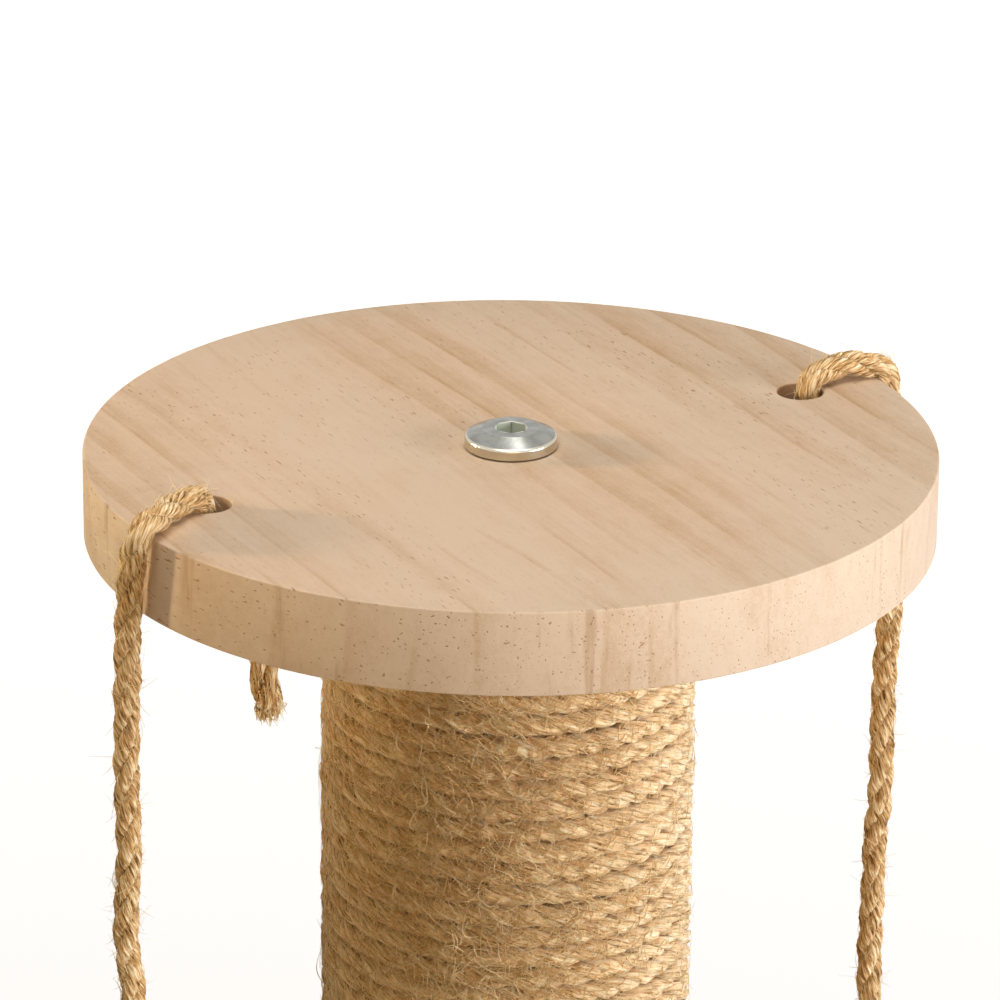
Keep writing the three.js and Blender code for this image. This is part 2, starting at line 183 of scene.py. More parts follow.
class Nodes:
    """The nodes of one material, or of the world."""

    def __init__(self, name: str, world: bool = False) -> None:
        """Makes an empty material or world of that name."""
        self.owner = (bpy.data.worlds if world else bpy.data.materials).new(name)
        self.owner.use_nodes = True
        self.tree = self.owner.node_tree
        self.tree.nodes.clear()

    def add(self, kind: str, settings: dict | None = None, inputs: dict | None = None) -> bpy.types.Node:
        """Adds a node.

        Args:
            kind: the node's type.
            settings: its properties, set first; stops are a ramp's places and colours.
            inputs: its sockets by name or number, each a number, a colour, or what it is linked to.

        Returns:
            The node.
        """
        node = self.tree.nodes.new(kind)
        for key, value in (settings or {}).items():
            if key != "stops":
                setattr(node, key, value)
                continue
            elements = node.color_ramp.elements
            while len(elements) < len(value):
                elements.new(0.5)
            for element, (place, colour) in zip(elements, value):
                element.position = place
                element.color = colour
        for key, value in (inputs or {}).items():
            if isinstance(value, Shade):
                value = value.socket
            if isinstance(value, Socket):
                self.tree.links.new(value, node.inputs[key])
            else:
                node.inputs[key].default_value = value
        return node

    def place(self, turn: Point = (0, 0, 0), shift: Point = (0, 0, 0)) -> Socket:
        """The object's own coordinates, turned by degrees and then shifted."""
        coordinates = self.add("ShaderNodeTexCoord").outputs["Object"]
        inputs = {"Vector": coordinates, "Rotation": [math.radians(a) for a in turn], "Location": shift}
        return self.add("ShaderNodeMapping", {"vector_type": "POINT"}, inputs).outputs[0]

    def fibre(self) -> Socket:
        """The mesh's attribute fibre."""
        return self.add("ShaderNodeAttribute", {"attribute_name": "fibre"}).outputs["Vector"]

    def scaled(self, vector: Socket, by: Point) -> Socket:
        """A vector with each of its parts multiplied."""
        return self.add("ShaderNodeVectorMath", {"operation": "MULTIPLY"}, {0: vector, 1: by}).outputs[0]

    def parts(self, vector: Socket) -> list[Shade]:
        """A vector's three parts."""
        node = self.add("ShaderNodeSeparateXYZ", inputs={0: vector})
        return [Shade(self, socket) for socket in node.outputs]

    def noise(self, vector: Socket, scale: float, detail: float = 2, rough: float = 0.5) -> Shade:
        """Noise from 0 to 1 with so many lumps to a unit, and so many finer layers of that strength."""
        inputs = {"Vector": vector, "Scale": scale, "Detail": detail, "Roughness": rough}
        return Shade(self, self.add("ShaderNodeTexNoise", inputs=inputs).outputs["Fac"])

    def mix(self, share: Shade, first: Socket | Colour, second: Socket | Colour, how: str = "MIX") -> Socket:
        """Two colours, mixed by a share of the second."""
        settings = {"data_type": "RGBA", "blend_type": how, "clamp_result": False}
        return self.add("ShaderNodeMix", settings, {0: share, 6: first, 7: second}).outputs[2]

    def ramp(self, share: Shade, stops: Sequence[tuple[float, Colour]]) -> Socket:
        """The colour at a place along a ramp."""
        return self.add("ShaderNodeValToRGB", {"stops": stops}, {"Fac": share}).outputs[0]

    def bump(self, height: Shade, depth: float, strength: float) -> Socket:
        """The normal of a surface that rises by depth, in metres, where height is 1."""
        inputs = {"Height": height, "Distance": depth, "Strength": strength}
        return self.add("ShaderNodeBump", inputs=inputs).outputs[0]

    def surface(self, inputs: dict) -> Material:
        """Ends the material in one Principled shader with these inputs."""
        shader = self.add("ShaderNodeBsdfPrincipled", inputs=inputs)
        self.add("ShaderNodeOutputMaterial", inputs={"Surface": shader.outputs[0]})
        return self.owner


# ---- Finishes ----


@dataclass(frozen=True)
class Pine:
    """Sanded pine without varnish, sawn so that its rings stand nearly upright in the board.

    Its own Y runs along the grain, and turn and shift lay it in a piece. Its rings lie round the pith. The
    end grain past the radius rim is paler: partly the end grain's own tone, partly painted light that lifts
    the rim against the top. Inside two holes at bores to either side, painted shade darkens the wood.
    """

    name: str
    turn: Point = (0, 0, 0)
    shift: Point = (0, 0, 0)
    pith: Pair = (0.42, 0.46)
    ring: float = 10.5 * MM
    rim: float = 1
    # how far the two rope holes are from the middle; inside them painted shade darkens the wood, and 0 gives
    # none
    bores: float = 0
    # the radii from the holes' middles over which that painted shade fades out, just past their walls
    bore: Pair = (5.15 * MM, 5.02 * MM)
    pale: Colour = srgb(216, 194, 171)
    dark: Colour = srgb(184, 147, 106)
    # the resin colour for stains and pores, also used as the painted shade inside the rope holes
    resin_and_bore_shade: Colour = srgb(158, 114, 72)
    # the rim's paler end grain: partly its own tone, partly painted light
    edge: Colour = srgb(226, 205, 184)

    def material(self) -> Material:
        """Makes the wood."""
        nodes = Nodes(self.name)
        place = nodes.place(self.turn, self.shift)
        x, _, z = nodes.parts(place)
        from_pith = (x - self.pith[0]).hypot(z - self.pith[1])
        wave = nodes.noise(nodes.scaled(place, (1, 0.25, 0.6)), 14, 2)
        ring = ((from_pith + wave * (2.4 * self.ring)) * (1 / self.ring)).fraction()
        late = ring.band(0.2, 0.9) * ring.band(1.0, 0.9)
        line = ring.band(0.82, 0.93) * ring.band(1.0, 0.95)
        broad = nodes.noise(nodes.scaled(place, (1, 0.16, 0.5)), 34, 2)
        cloud = nodes.noise(nodes.scaled(place, (1, 0.5, 0.7)), 240, 3, 0.6)
        broken = nodes.noise(nodes.scaled(place, (1, 0.5, 0.5)), 55, 2)
        streak = nodes.noise(nodes.scaled(place, (1, 0.035, 0.6)), 900, 3, 0.6)
        grain = nodes.noise(place, 2600, 1)
        rings = late * broad.band(0.42, 0.68) * 0.27 + line * broken.band(0.5, 0.64) * 0.22
        fine = (streak - 0.5) * 0.5 + (grain - 0.5) * 0.44 + (cloud - 0.5) * 0.5
        figure = rings + fine + broad.band(0.3, 0.8) * 0.24
        own_x, own_y, _ = nodes.parts(nodes.place())
        on_rim = own_x.hypot(own_y).band(self.rim - 0.4 * MM, self.rim)
        wood = nodes.mix((figure * (on_rim * 0.5 + 1)).band(-0.12, 1.0), self.pale, self.dark)
        # the rim turns paler: partly the end grain's own tone, partly painted light lifting the side against
        # the top
        wood = nodes.mix(on_rim * 0.4, wood, self.edge)
        stain = nodes.noise(nodes.scaled(place, (1, 1, 0.1)), 190, 3, 0.65).band(0.6, 0.72)
        wood = nodes.mix(stain * on_rim * 0.4, wood, self.resin_and_bore_shade)
        dash = nodes.noise(nodes.scaled(place, (1, 0.17, 1)), 1900, 0)
        gather = nodes.noise(nodes.scaled(place, (1, 0.4, 1)), 26, 1).band(0.42, 0.7)
        left_rim = on_rim * own_x.band(0.03, -0.03)
        canal = dash.band(0.73, 0.8) * (gather * 0.8 + left_rim * 0.6 + 0.15)
        wood = nodes.mix(canal, wood, self.resin_and_bore_shade)
        # painted shade inside the two rope holes, in the resin colour
        if self.bores:
            beside = own_x.maths("ABSOLUTE", own_x) - self.bores
            wood = nodes.mix(beside.hypot(own_y).band(*self.bore) * 0.6, wood, self.resin_and_bore_shade)
        return nodes.surface({
            "Base Color": wood,
            "Roughness": streak * 0.16 + 0.6,
            "Specular IOR Level": 0.3,
            "Normal": nodes.bump(streak * 0.5 + grain * 0.3 - canal * 0.6, 0.1 * MM, 0.6),
        })


@dataclass(frozen=True)
class Jute:
    """Twisted jute. The attribute fibre holds each point's place in its strand, with Z along the fibres.

    Stretch is how much longer its streaks are than wide, as a share. Its last field holds the distances from
    the post's middle between which painted shade darkens it, inwards towards the gaps between strands and
    loops.
    """

    name: str
    shade: Colour
    middle: Colour
    light: Colour
    contrast: float
    stretch: float
    # radii from the post's axis between which painted shade darkens the cord, inwards
    hollow_shade: Pair | None = None

    def material(self) -> Material:
        """Makes the cord's surface."""
        nodes = Nodes(self.name)
        fibre = nodes.fibre()
        fine = nodes.noise(nodes.scaled(fibre, (1, 1, self.stretch)), 5200, 2, 0.6)
        coarse = nodes.noise(nodes.scaled(fibre, (1, 1, 1.5 * self.stretch)), 1700, 2, 0.55)
        length = nodes.noise(fibre, 60, 2)
        share = (fine - 0.5) * (0.9 * self.contrast) + (coarse - 0.5) * (1.2 * self.contrast)
        share = share + (length - 0.5) * 0.5 + 0.5
        base = nodes.ramp(share, [(0.0, self.shade), (0.5, self.middle), (1.0, self.light)])
        # painted shade in the winding's gaps and grooves: darker towards the post's axis
        if self.hollow_shade:
            x, y, _ = nodes.parts(nodes.place())
            base = nodes.mix(x.hypot(y).band(*self.hollow_shade) * 0.28, base, self.shade, "MULTIPLY")
        return nodes.surface({
            "Base Color": base,
            "Subsurface Weight": 0.7,
            "Subsurface Radius": (1, 1, 1),
            "Subsurface Scale": 0.5 * MM,
            "Roughness": 0.88,
            "Specular IOR Level": 0.25,
            "Sheen Weight": 0.12,
            "Sheen Roughness": 0.5,
            "Sheen Tint": srgb(255, 236, 204),
            "Normal": nodes.bump(coarse * 0.7 + fine * 0.3, 0.5 * MM, 0.9),
        })


@dataclass(frozen=True)
class LooseFibre:
    """Single jute fibres. The attribute fibre holds each one's tone in X, and its own place further on."""

    name: str = "loose_jute_fibre"
    shade: Colour = srgb(216, 170, 108)
    light: Colour = srgb(253, 232, 184)

    def material(self) -> Material:
        """Makes the fibres' surface."""
        nodes = Nodes(self.name)
        fibre = nodes.fibre()
        share = nodes.parts(fibre)[0] + (nodes.noise(fibre, 300, 1) - 0.5) * 0.4
        return nodes.surface({
            "Base Color": nodes.mix(share.band(0.0, 1.0), self.shade, self.light),
            "Roughness": 0.7,
            "Specular IOR Level": 0.3,
            "Subsurface Weight": 0.3,
            "Subsurface Radius": (1, 1, 1),
            "Subsurface Scale": 0.2 * MM,
        })


@dataclass(frozen=True)
class Zinc:
    """Bright zinc plate with a few darker clouds.

    A paler ring on the head's rounded edge is partly rubbed zinc, partly a painted highlight. The paler,
    greener colour in its socket is painted light on the socket's walls.
    """

    name: str = "zinc_plate"
    bright: Colour = srgb(160, 159, 151)
    dull: Colour = srgb(132, 132, 126)
    # paler ring on the head's rounded edge: partly rubbed zinc, partly a painted highlight
    worn: Colour = srgb(206, 198, 180)
    # painted light on the socket's walls: paler and greener than the plate
    socket: Colour = srgb(184, 187, 174)
    # the radii of that paler ring, which is partly a painted highlight
    edge: Pair = (9.1 * MM, 9.6 * MM)
    # the radii over which the socket's painted light fades in
    mouth: Pair = (3.6 * MM, 3.3 * MM)

    def material(self) -> Material:
        """Makes the metal."""
        nodes = Nodes(self.name)
        place = nodes.place()
        cloud = nodes.noise(place, 260, 3)
        grit = nodes.noise(place, 2600, 2)
        x, y, _ = nodes.parts(place)
        radius = x.hypot(y)
        # inside is the socket, where a paler colour is painted light on its walls
        inside = radius.band(*self.mouth)
        plate = nodes.mix(cloud.band(0.3, 0.7), self.bright, self.dull)
        # the head's rounded edge gets a paler ring: partly rubbed zinc, partly a painted highlight
        plate = nodes.mix(radius.band(*self.edge), plate, self.worn)
        return nodes.surface({
            # painted light on the socket's walls
            "Base Color": nodes.mix(inside, plate, self.socket),
            "Metallic": 1.0,
            "Roughness": cloud * 0.16 + grit * 0.06 + inside * 0.3 + 0.14,
            "Normal": nodes.bump(grit, 0.006 * MM, 0.4),
        })


@dataclass(frozen=True)
class Pressed:
    """A plain pressed sheet, such as felt or wound paper: a base colour with flecks, so many to a metre."""

    name: str
    base: Colour
    fleck: Colour
    lumps: float
    roughness: float
    depth: float

    def material(self) -> Material:
        """Makes the sheet's surface."""
        nodes = Nodes(self.name)
        place = nodes.place()
        nap = nodes.noise(place, self.lumps, 3, 0.65)
        cloud = nodes.noise(place, self.lumps / 12, 2)
        return nodes.surface({
            "Base Color": nodes.mix((nap * 0.7 + cloud * 0.3).band(0.3, 0.75), self.base, self.fleck),
            "Roughness": self.roughness,
            "Specular IOR Level": 0.2,
            "Normal": nodes.bump(nap, self.depth, 0.8),
        })


HANGING_ROPE = Jute(
    "hanging_rope", srgb(92, 58, 24), srgb(210, 168, 111), srgb(254, 240, 208), contrast=1.75, stretch=0.14,
)
WOUND_CORD = Jute(
    "wound_cord", srgb(126, 86, 38), srgb(247, 213, 165), srgb(255, 248, 224), contrast=1.45, stretch=0.1,
    # painted shade deep in the winding's gaps, between these radii
    hollow_shade=(39.5 * MM, 38.2 * MM),
)
FELT = Pressed("felt", srgb(112, 96, 78), srgb(84, 70, 56), 3000, 0.95, 0.3 * MM)
PAPER = Pressed("paper_tube", srgb(176, 146, 108), srgb(150, 120, 84), 600, 0.85, 0.1 * MM)


# ---- Making pieces ----


def carry(piece: Piece, body: Body, slot: Slot, *stands_for: str) -> Piece:
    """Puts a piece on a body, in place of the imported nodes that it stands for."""
    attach(piece, body.value)
    if stands_for:
        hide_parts(*stands_for)
    log.info("%s rides on %s, %d faces", piece.name, body.value, len(piece.data.polygons))
    return piece


def placed(name: str, data: bpy.types.ID) -> Piece:
    """Adds an object to the scene."""
    piece = bpy.data.objects.new(name, data)
    bpy.context.scene.collection.objects.link(piece)
    return piece


def aimed(name: str, data: bpy.types.ID, at: Vector, way: Vector, roll: float = 0) -> Piece:
    """Adds a camera or a lamp that looks one way from a place, rolled by degrees."""
    piece = placed(name, data)
    piece.location = at
    piece.rotation_mode = "QUATERNION"
    turn = Quaternion((0, 0, 1), math.radians(roll))
    piece.rotation_quaternion = way.to_track_quat("-Z", "Y") @ turn
    return piece


def dressed(name: str, mesh: bpy.types.Mesh, finish: Material, sharp: float | None) -> Piece:
    """Adds a mesh to the scene in one material, smooth but at edges over sharp, in degrees."""
    mesh.polygons.foreach_set("use_smooth", [True] * len(mesh.polygons))
    if sharp is not None:
        mesh.set_sharp_from_angle(angle=math.radians(sharp))
    mesh.materials.append(finish)
    return placed(name, mesh)


def piece_of(name: str, shape: Shape, finish: Material, sharp: float = 35) -> Piece:
    """Makes an object of a bmesh, and frees the bmesh.

    Args:
        name: the piece's name.
        shape: the bmesh.
        finish: its material.
        sharp: the angle in degrees from which an edge is shaded sharp.

    Returns:
        The new object.
    """
    bmesh.ops.remove_doubles(shape, verts=shape.verts, dist=0.001 * MM)
    bmesh.ops.recalc_face_normals(shape, faces=shape.faces)
    mesh = bpy.data.meshes.new(name)
    shape.to_mesh(mesh)
    shape.free()
    return dressed(name, mesh, finish, sharp)


def rounding(radius: float, height: float, size: float, start: float, end: float, steps: int) -> list[Point]:
    """A rounded corner of a turned profile.

    Args:
        radius: the corner's centre, from the axis.
        height: the corner's centre, along the axis.
        size: the rounding's own radius.
        start: the angle at which it starts, in degrees from outwards.
        end: the angle at which it ends.
        steps: how many stretches it has.

    Returns:
        Its points, in the plane of X and Z.
    """
    angles = (math.radians(start + (end - start) * i / steps) for i in range(steps + 1))
    return [(radius + size * math.cos(a), 0.0, height + size * math.sin(a)) for a in angles]


def spun(profile: Iterable[Point], segments: int, centre: Point = (0, 0, 0)) -> Shape:
    """Turns a profile once round a vertical axis.

    Args:
        profile: points in the plane of X and Z.
        segments: how many steps the turn has.
        centre: where the profile's origin goes.

    Returns:
        The turned shape.
    """
    shape = bmesh.new()
    points = [shape.verts.new(point) for point in profile]
    edges = [shape.edges.new(pair) for pair in zip(points, points[1:])]
    bmesh.ops.spin(
        shape, geom=points + edges, cent=(0, 0, 0), axis=(0, 0, 1), dvec=(0, 0, 0),
        angle=math.tau, steps=segments, use_merge=True, use_duplicate=False,
    )
    bmesh.ops.translate(shape, verts=shape.verts, vec=centre)
    return shape


# ---- Routes and tubes ----


def smooth_route(points: Sequence[Point], step: float) -> Rows:
    """A smooth line through points, at an even step.

    Args:
        points: the points that it goes through.
        step: the distance between the points of the line.

    Returns:
        The line's points, one to a row.
    """
    given = np.array(points, float)
    given = np.vstack([2 * given[0] - given[1], given, 2 * given[-1] - given[-2]])
    pieces = []
    steps = 40
    for a, b, c, d in zip(given, given[1:], given[2:], given[3:]):
        ab, bc, cd = (math.sqrt(np.linalg.norm(q - p)) for p, q in ((a, b), (b, c), (c, d)))
        leaving = bc * ((b - a) / ab - (c - a) / (ab + bc) + (c - b) / bc)
        arriving = bc * ((c - b) / bc - (d - b) / (bc + cd) + (d - c) / cd)
        t = np.linspace(0, 1, steps, endpoint=False)[:, None]
        pieces.append(
            b + t * leaving + t**2 * (3 * (c - b) - 2 * leaving - arriving)
            + t**3 * (2 * (b - c) + leaving + arriving)
        )
    line = np.vstack([*pieces, given[-2:-1]])
    along = run(line)
    even = np.linspace(0, along[-1], max(2, round(along[-1] / step) + 1))
    return np.stack([np.interp(even, along, line[:, i]) for i in range(3)], axis=1)


def unit(vectors: Rows) -> Rows:
    """Vectors of length 1."""
    return vectors / np.linalg.norm(vectors, axis=-1, keepdims=True)


def run(points: Rows) -> Rows:
    """How far along a line each of its points is."""
    return np.concatenate([[0], np.cumsum(np.linalg.norm(np.diff(points, axis=0), axis=1))])


def across(vectors: Rows, ahead: Rows) -> Rows:
    """Vectors of length 1, turned square to a direction each."""
    return unit(vectors - ahead * np.sum(vectors * ahead, axis=-1, keepdims=True))


def ring_of(angle: Rows, out: Rows, side: Rows) -> Rows:
    """The directions at angles from out towards side."""
    return np.cos(angle)[..., None] * out + np.sin(angle)[..., None] * side


def eased(share: Rows) -> Rows:
    """Shares from 0 to 1, with a soft start and a soft end."""
    return share * share * (3 - 2 * share)


@dataclass
class Line:
    """A line with a frame at each of its points: along it, outwards and sideways."""

    points: Rows
    outwards: Rows
    sideways: Rows
    along: Rows

    @classmethod
    def untwisted(cls, points: Rows) -> "Line":
        """The line through points, with frames that turn as little as it allows."""
        direction = unit(np.gradient(points, axis=0))
        outwards = np.empty_like(points)
        last = np.array((0.3, 1, 0.1))
        for i, ahead in enumerate(direction):
            last = last - ahead * (last @ ahead)
            last = last / np.linalg.norm(last)
            outwards[i] = last
        return cls(points, outwards, np.cross(direction, outwards), run(points))

    def part(self, start: int, end: int) -> "Line":
        """The stretch from one point's number to another's, with both ends."""
        cut = slice(start, end + 1)
        return Line(self.points[cut], self.outwards[cut], self.sideways[cut], self.along[cut])


def drift(places: Rows, period: float, chance: Chance) -> Rows:
    """Smooth random values from -1 to 1 at rising places, which change over a period."""
    at = (places - places[0]) / period
    knots = chance.uniform(-1, 1, int(at[-1]) + 3)
    whole = at.astype(int)
    share = eased(at - whole)
    return knots[whole] * (1 - share) + knots[whole + 1] * share


class Tubes:
    """Closed tubes that are gathered into one mesh, with the attribute fibre on their points."""

    def __init__(self) -> None:
        """Starts with no tube."""
        self.points: list[Rows] = []
        self.fibre: list[Rows] = []
        self.quads: list[Rows] = []
        self.caps: list[Rows] = []
        self.count = 0

    def add(self, rings: Rows, fibre: Rows) -> None:
        """Adds tubes that have as many rings and sides as each other.

        Args:
            rings: the points by tube, ring and side, which run round to the right of the way along.
            fibre: the attribute's value at each of them.
        """
        tubes, count, sides, _ = rings.shape
        index = np.arange(tubes * count * sides).reshape(tubes, count, sides) + self.count
        beside = np.roll(index, -1, axis=2)
        quads = np.stack([index[:, :-1], beside[:, :-1], beside[:, 1:], index[:, 1:]], axis=-1)
        self.quads.append(quads.reshape(-1, 4))
        self.caps += [index[:, 0, ::-1], index[:, -1]]
        self.points.append(rings.reshape(-1, 3))
        self.fibre.append(fibre.reshape(-1, 3))
        self.count += index.size

    def piece(self, name: str, finish: Material, sharp: float | None = 62) -> Piece:
        """Makes one object of all the tubes, shaded sharp at edges over an angle."""
        mesh = bpy.data.meshes.new(name)
        faces = [*self.quads, *self.caps]
        corners = np.concatenate([some.ravel() for some in faces])
        sizes = np.concatenate([np.full(len(some), some.shape[1]) for some in faces])
        mesh.vertices.add(self.count)
        mesh.loops.add(len(corners))
        mesh.polygons.add(len(sizes))
        mesh.vertices.foreach_set("co", np.concatenate(self.points).astype(np.float32).ravel())
        mesh.loops.foreach_set("vertex_index", corners.astype(np.int32))
        starts = np.concatenate([[0], np.cumsum(sizes)[:-1]])
        mesh.polygons.foreach_set("loop_start", starts.astype(np.int32))
        mesh.update(calc_edges=True)
        mesh.validate()
        values = mesh.attributes.new("fibre", "FLOAT_VECTOR", "POINT")
        values.data.foreach_set("vector", np.concatenate(self.fibre).astype(np.float32).ravel())
        return dressed(name, mesh, finish, sharp)


@dataclass(frozen=True)
class Twist:
    """How a cord is laid up: strands that turn about each other, each of yarns that turn the other way.

    Ridge is how far the yarns stand out, uneven how much a strand swells and thins, stray how far it leaves
    its place, rough how much its points scatter and slack how unevenly it turns, all as shares. Press is
    how much thicker the strands are than what fits without their pressing on each other.
    """

    diameter: float
    lay: float
    sides: int
    strands: int = 3
    yarns: int = 4
    ridge: float = 0.07
    yarn_angle: float = 44
    uneven: float = 0.08
    stray: float = 0.025
    rough: float = 0.03
    press: float = 1.12
    slack: float = 0.12

    @property
    def strand_radius(self) -> float:
        """The radius of a strand."""
        return self.press * self.diameter / 2 / (1 + 2 / math.sqrt(3))

    def lay_along(self, line: Line, tubes: Tubes, chance: Chance, taper: float = 0) -> None:
        """Adds the strands along a line.

        Args:
            line: the middle of the cord.
            tubes: where they are added.
            chance: where the unevenness comes from.
            taper: the length over which each end closes.
        """
        radius = self.strand_radius
        centre = self.diameter / 2 - radius
        twist = math.tan(math.radians(self.yarn_angle)) / radius
        around = math.tau * np.arange(self.sides) / self.sides
        for strand in range(self.strands):
            turn = math.tau * (strand / self.strands + line.along / self.lay)
            turn = turn + self.slack * drift(line.along, 1.4 * self.lay, chance)
            out = ring_of(turn, line.outwards, line.sideways)
            off = centre * (1 + self.stray * 4 * drift(line.along, 0.8 * self.lay, chance))
            middle = line.points + off[:, None] * out
            ahead = unit(np.gradient(middle, axis=0))
            out = across(out, ahead)
            side = np.cross(ahead, out)
            turned = around - twist * line.along[:, None]
            size = 1 + self.uneven * drift(line.along, 0.35 * self.lay, chance)
            size = size * (1 + 0.5 * self.uneven * drift(line.along, 0.1 * self.lay, chance))
            if taper:
                end = np.minimum(line.along - line.along[0], line.along[-1] - line.along)
                size = size * np.sqrt(np.clip(end / taper, 0.15, 1))
            ridge = self.ridge * (1 + 0.5 * drift(line.along, 2.5 * MM, chance))[:, None]
            spread = radius * size[:, None] * (1 + ridge * np.cos(self.yarns * around))
            spread = spread * (1 + self.rough * chance.normal(0, 1, turned.shape))
            rings = middle[:, None] + spread[..., None] * ring_of(turned, out[:, None], side[:, None])
            place = (radius * np.cos(around), radius * np.sin(around), line.along[:, None] + 1.7 * strand)
            fibre = np.stack([np.broadcast_to(part, turned.shape) for part in place], axis=-1)
            tubes.add(rings[None], fibre[None])


@dataclass(frozen=True)
class Hair:
    """Loose fibres: how long and thick they are, how far they lift and curl, and what share ends free."""

    length: tuple[float, float]
    radius: tuple[float, float] = (0.055 * MM, 0.095 * MM)
    lift: float = 0.9 * MM
    curl: float = 0.3
    rings: int = 6
    free: float = 0.45

    def grow(self, start: Rows, ahead: Rows, out: Rows, tubes: Tubes, chance: Chance) -> None:
        """Adds one fibre at each start.

        Args:
            start: where the fibres start.
            ahead: the way they run, at first.
            out: the way that they lift.
            tubes: where they are added.
            chance: where their differences come from.
        """
        each = (len(start), 1, 1)
        t = np.linspace(0, 1, self.rings)[None, :, None]
        long = chance.uniform(*self.length, each)
        out = across(out, ahead)
        side = np.cross(ahead, out)[:, None]
        ahead, out = ahead[:, None], out[:, None]
        sway = chance.normal(0, self.curl, each)
        wriggle = chance.normal(0, 0.4 * self.curl, each)
        phase = chance.uniform(0, math.tau, each)
        lift = self.lift * chance.exponential(0.6, each)
        rise = np.where(chance.random(each) < self.free, t**1.6, np.sin(math.pi * t))
        path = (
            start[:, None] + long * t * ahead + out * lift * rise
            + side * long * (sway * t**2 + wriggle * 0.3 * np.sin(5 * t + phase))
        )
        thick = chance.uniform(*self.radius, each) * (1 - 0.6 * t**2)
        around = math.tau * np.arange(3) / 3
        rings = path[:, :, None] + thick[..., None] * ring_of(around, out[:, :, None], side[:, :, None])
        tone = np.broadcast_to(chance.random(each), rings.shape[:3])
        place = np.broadcast_to(long * t, rings.shape[:3])
        tubes.add(rings, np.stack([tone, place + 3 * tone, place], axis=-1))


# ---- Boards, balls and pads ----


def kind_of(made: dict, kind: type) -> list:
    """What a bmesh operator returned, of one kind."""
    return [part for part in made["geom"] if isinstance(part, kind)]


def edges_of(made: dict) -> list[Edge]:
    """The edges at the points that a bmesh operator returned."""
    return list({edge for vert in made["verts"] for edge in vert.link_edges})


@dataclass(frozen=True)
class Disc:
    """The round top board, with a hole for the bolt and one for each rope."""

    finish: Pine
    ease: float = 0.3 * MM
    hole_ease: float = 0.5 * MM
    bolt_hole: float = 4.5 * MM
    rope_hole: float = 5 * MM
    rope_ring: float = 71 * MM
    segments: int = 256

    def build(self) -> Piece:
        """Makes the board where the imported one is."""
        low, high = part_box("top_disc")
        shape = bmesh.new()
        outline = self.circle(shape, (high.x - low.x) / 2, 0, high.z, self.segments)
        bores = self.circle(shape, self.bolt_hole, 0, high.z, 48)
        for side in (1, -1):
            bores += self.circle(shape, self.rope_hole, side * self.rope_ring, high.z, 64)
        made = bmesh.ops.triangle_fill(shape, edges=outline + bores, use_beauty=True, normal=(0, 0, 1))
        drawn = bmesh.ops.extrude_face_region(shape, geom=kind_of(made, bmesh.types.BMFace))
        down = kind_of(drawn, Vert)
        bmesh.ops.translate(shape, verts=down, vec=(0, 0, low.z - high.z))
        bmesh.ops.recalc_face_normals(shape, faces=shape.faces)
        self.round_over(shape, False, self.ease)
        self.round_over(shape, True, self.hole_ease)
        board = piece_of("top_board", shape, self.finish.material())
        return carry(board, Body.POST, Slot.PINE, "top_disc")

    def circle(self, shape: Shape, radius: float, x: float, z: float, steps: int) -> list[Edge]:
        """Adds a circle and returns its edges."""
        at = Matrix.Translation((x, 0, z))
        return edges_of(bmesh.ops.create_circle(shape, segments=steps, radius=radius, matrix=at))

    def round_over(self, shape: Shape, bored: bool, size: float) -> None:
        """Rounds the sharp edges of the three bores, or else of the outline."""
        axes = [Vector((x, 0)) for x in (0, self.rope_ring, -self.rope_ring)]
        edges = []
        for edge in shape.edges:
            if len(edge.link_faces) == 2 and edge.calc_face_angle() >= math.radians(60):
                middle = ((edge.verts[0].co + edge.verts[1].co) / 2).xy
                beside = min((middle - axis).length for axis in axes)
                if (beside < 2 * self.rope_hole) == bored:
                    edges.append(edge)
        bmesh.ops.bevel(
            shape, geom=edges, offset=size, offset_type="OFFSET", segments=4, profile=0.5,
            affect="EDGES", material=-1,
        )


@dataclass(frozen=True)
class Base:
    """The round board that the post stands on, turned with a rounded top edge."""

    finish: Pine
    rounding: float = 4 * MM
    ease: float = 1 * MM
    bolt_hole: float = 4.5 * MM
    recess: float = 12 * MM
    recess_depth: float = 6 * MM

    def build(self) -> Piece:
        """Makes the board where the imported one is."""
        low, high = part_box("base_plate")
        radius = (high.x - low.x) / 2
        thick = high.z - low.z
        profile = [
            (self.recess, 0, 0),
            *rounding(radius - self.ease, self.ease, self.ease, -90, 0, 3),
            *rounding(radius - self.rounding, thick - self.rounding, self.rounding, 0, 90, 8),
            (self.bolt_hole, 0, thick),
            (self.bolt_hole, 0, self.recess_depth),
            (self.recess, 0, self.recess_depth),
            (self.recess, 0, 0),
        ]
        board = piece_of("base_board", spun(profile, 256, (0, 0, low.z)), self.finish.material())
        return carry(board, Body.POST, Slot.PINE, "base_plate")


@dataclass(frozen=True)
class Pads:
    """The felt pads under the base, with a soft rim."""

    finish: Pressed
    count: int = 4
    soft: float = 0.7 * MM

    def build(self) -> None:
        """Makes a pad where each packed one is."""
        felt = self.finish.material()
        for number in range(1, self.count + 1):
            node = f"felt_pad_{number}"
            low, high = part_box(node)
            radius, thick = (high.x - low.x) / 2, high.z - low.z
            profile = [
                (0, 0, 0),
                *rounding(radius - self.soft, self.soft, self.soft, -90, 0, 4),
                *rounding(radius - self.soft, thick - self.soft, self.soft, 0, 90, 4),
                (0, 0, thick),
            ]
            centre = ((low.x + high.x) / 2, (low.y + high.y) / 2, low.z)
            pad = piece_of(f"pad_{number}", spun(profile, 64, centre), felt, 60)
            carry(pad, Body.POST, Slot.FELT, node)


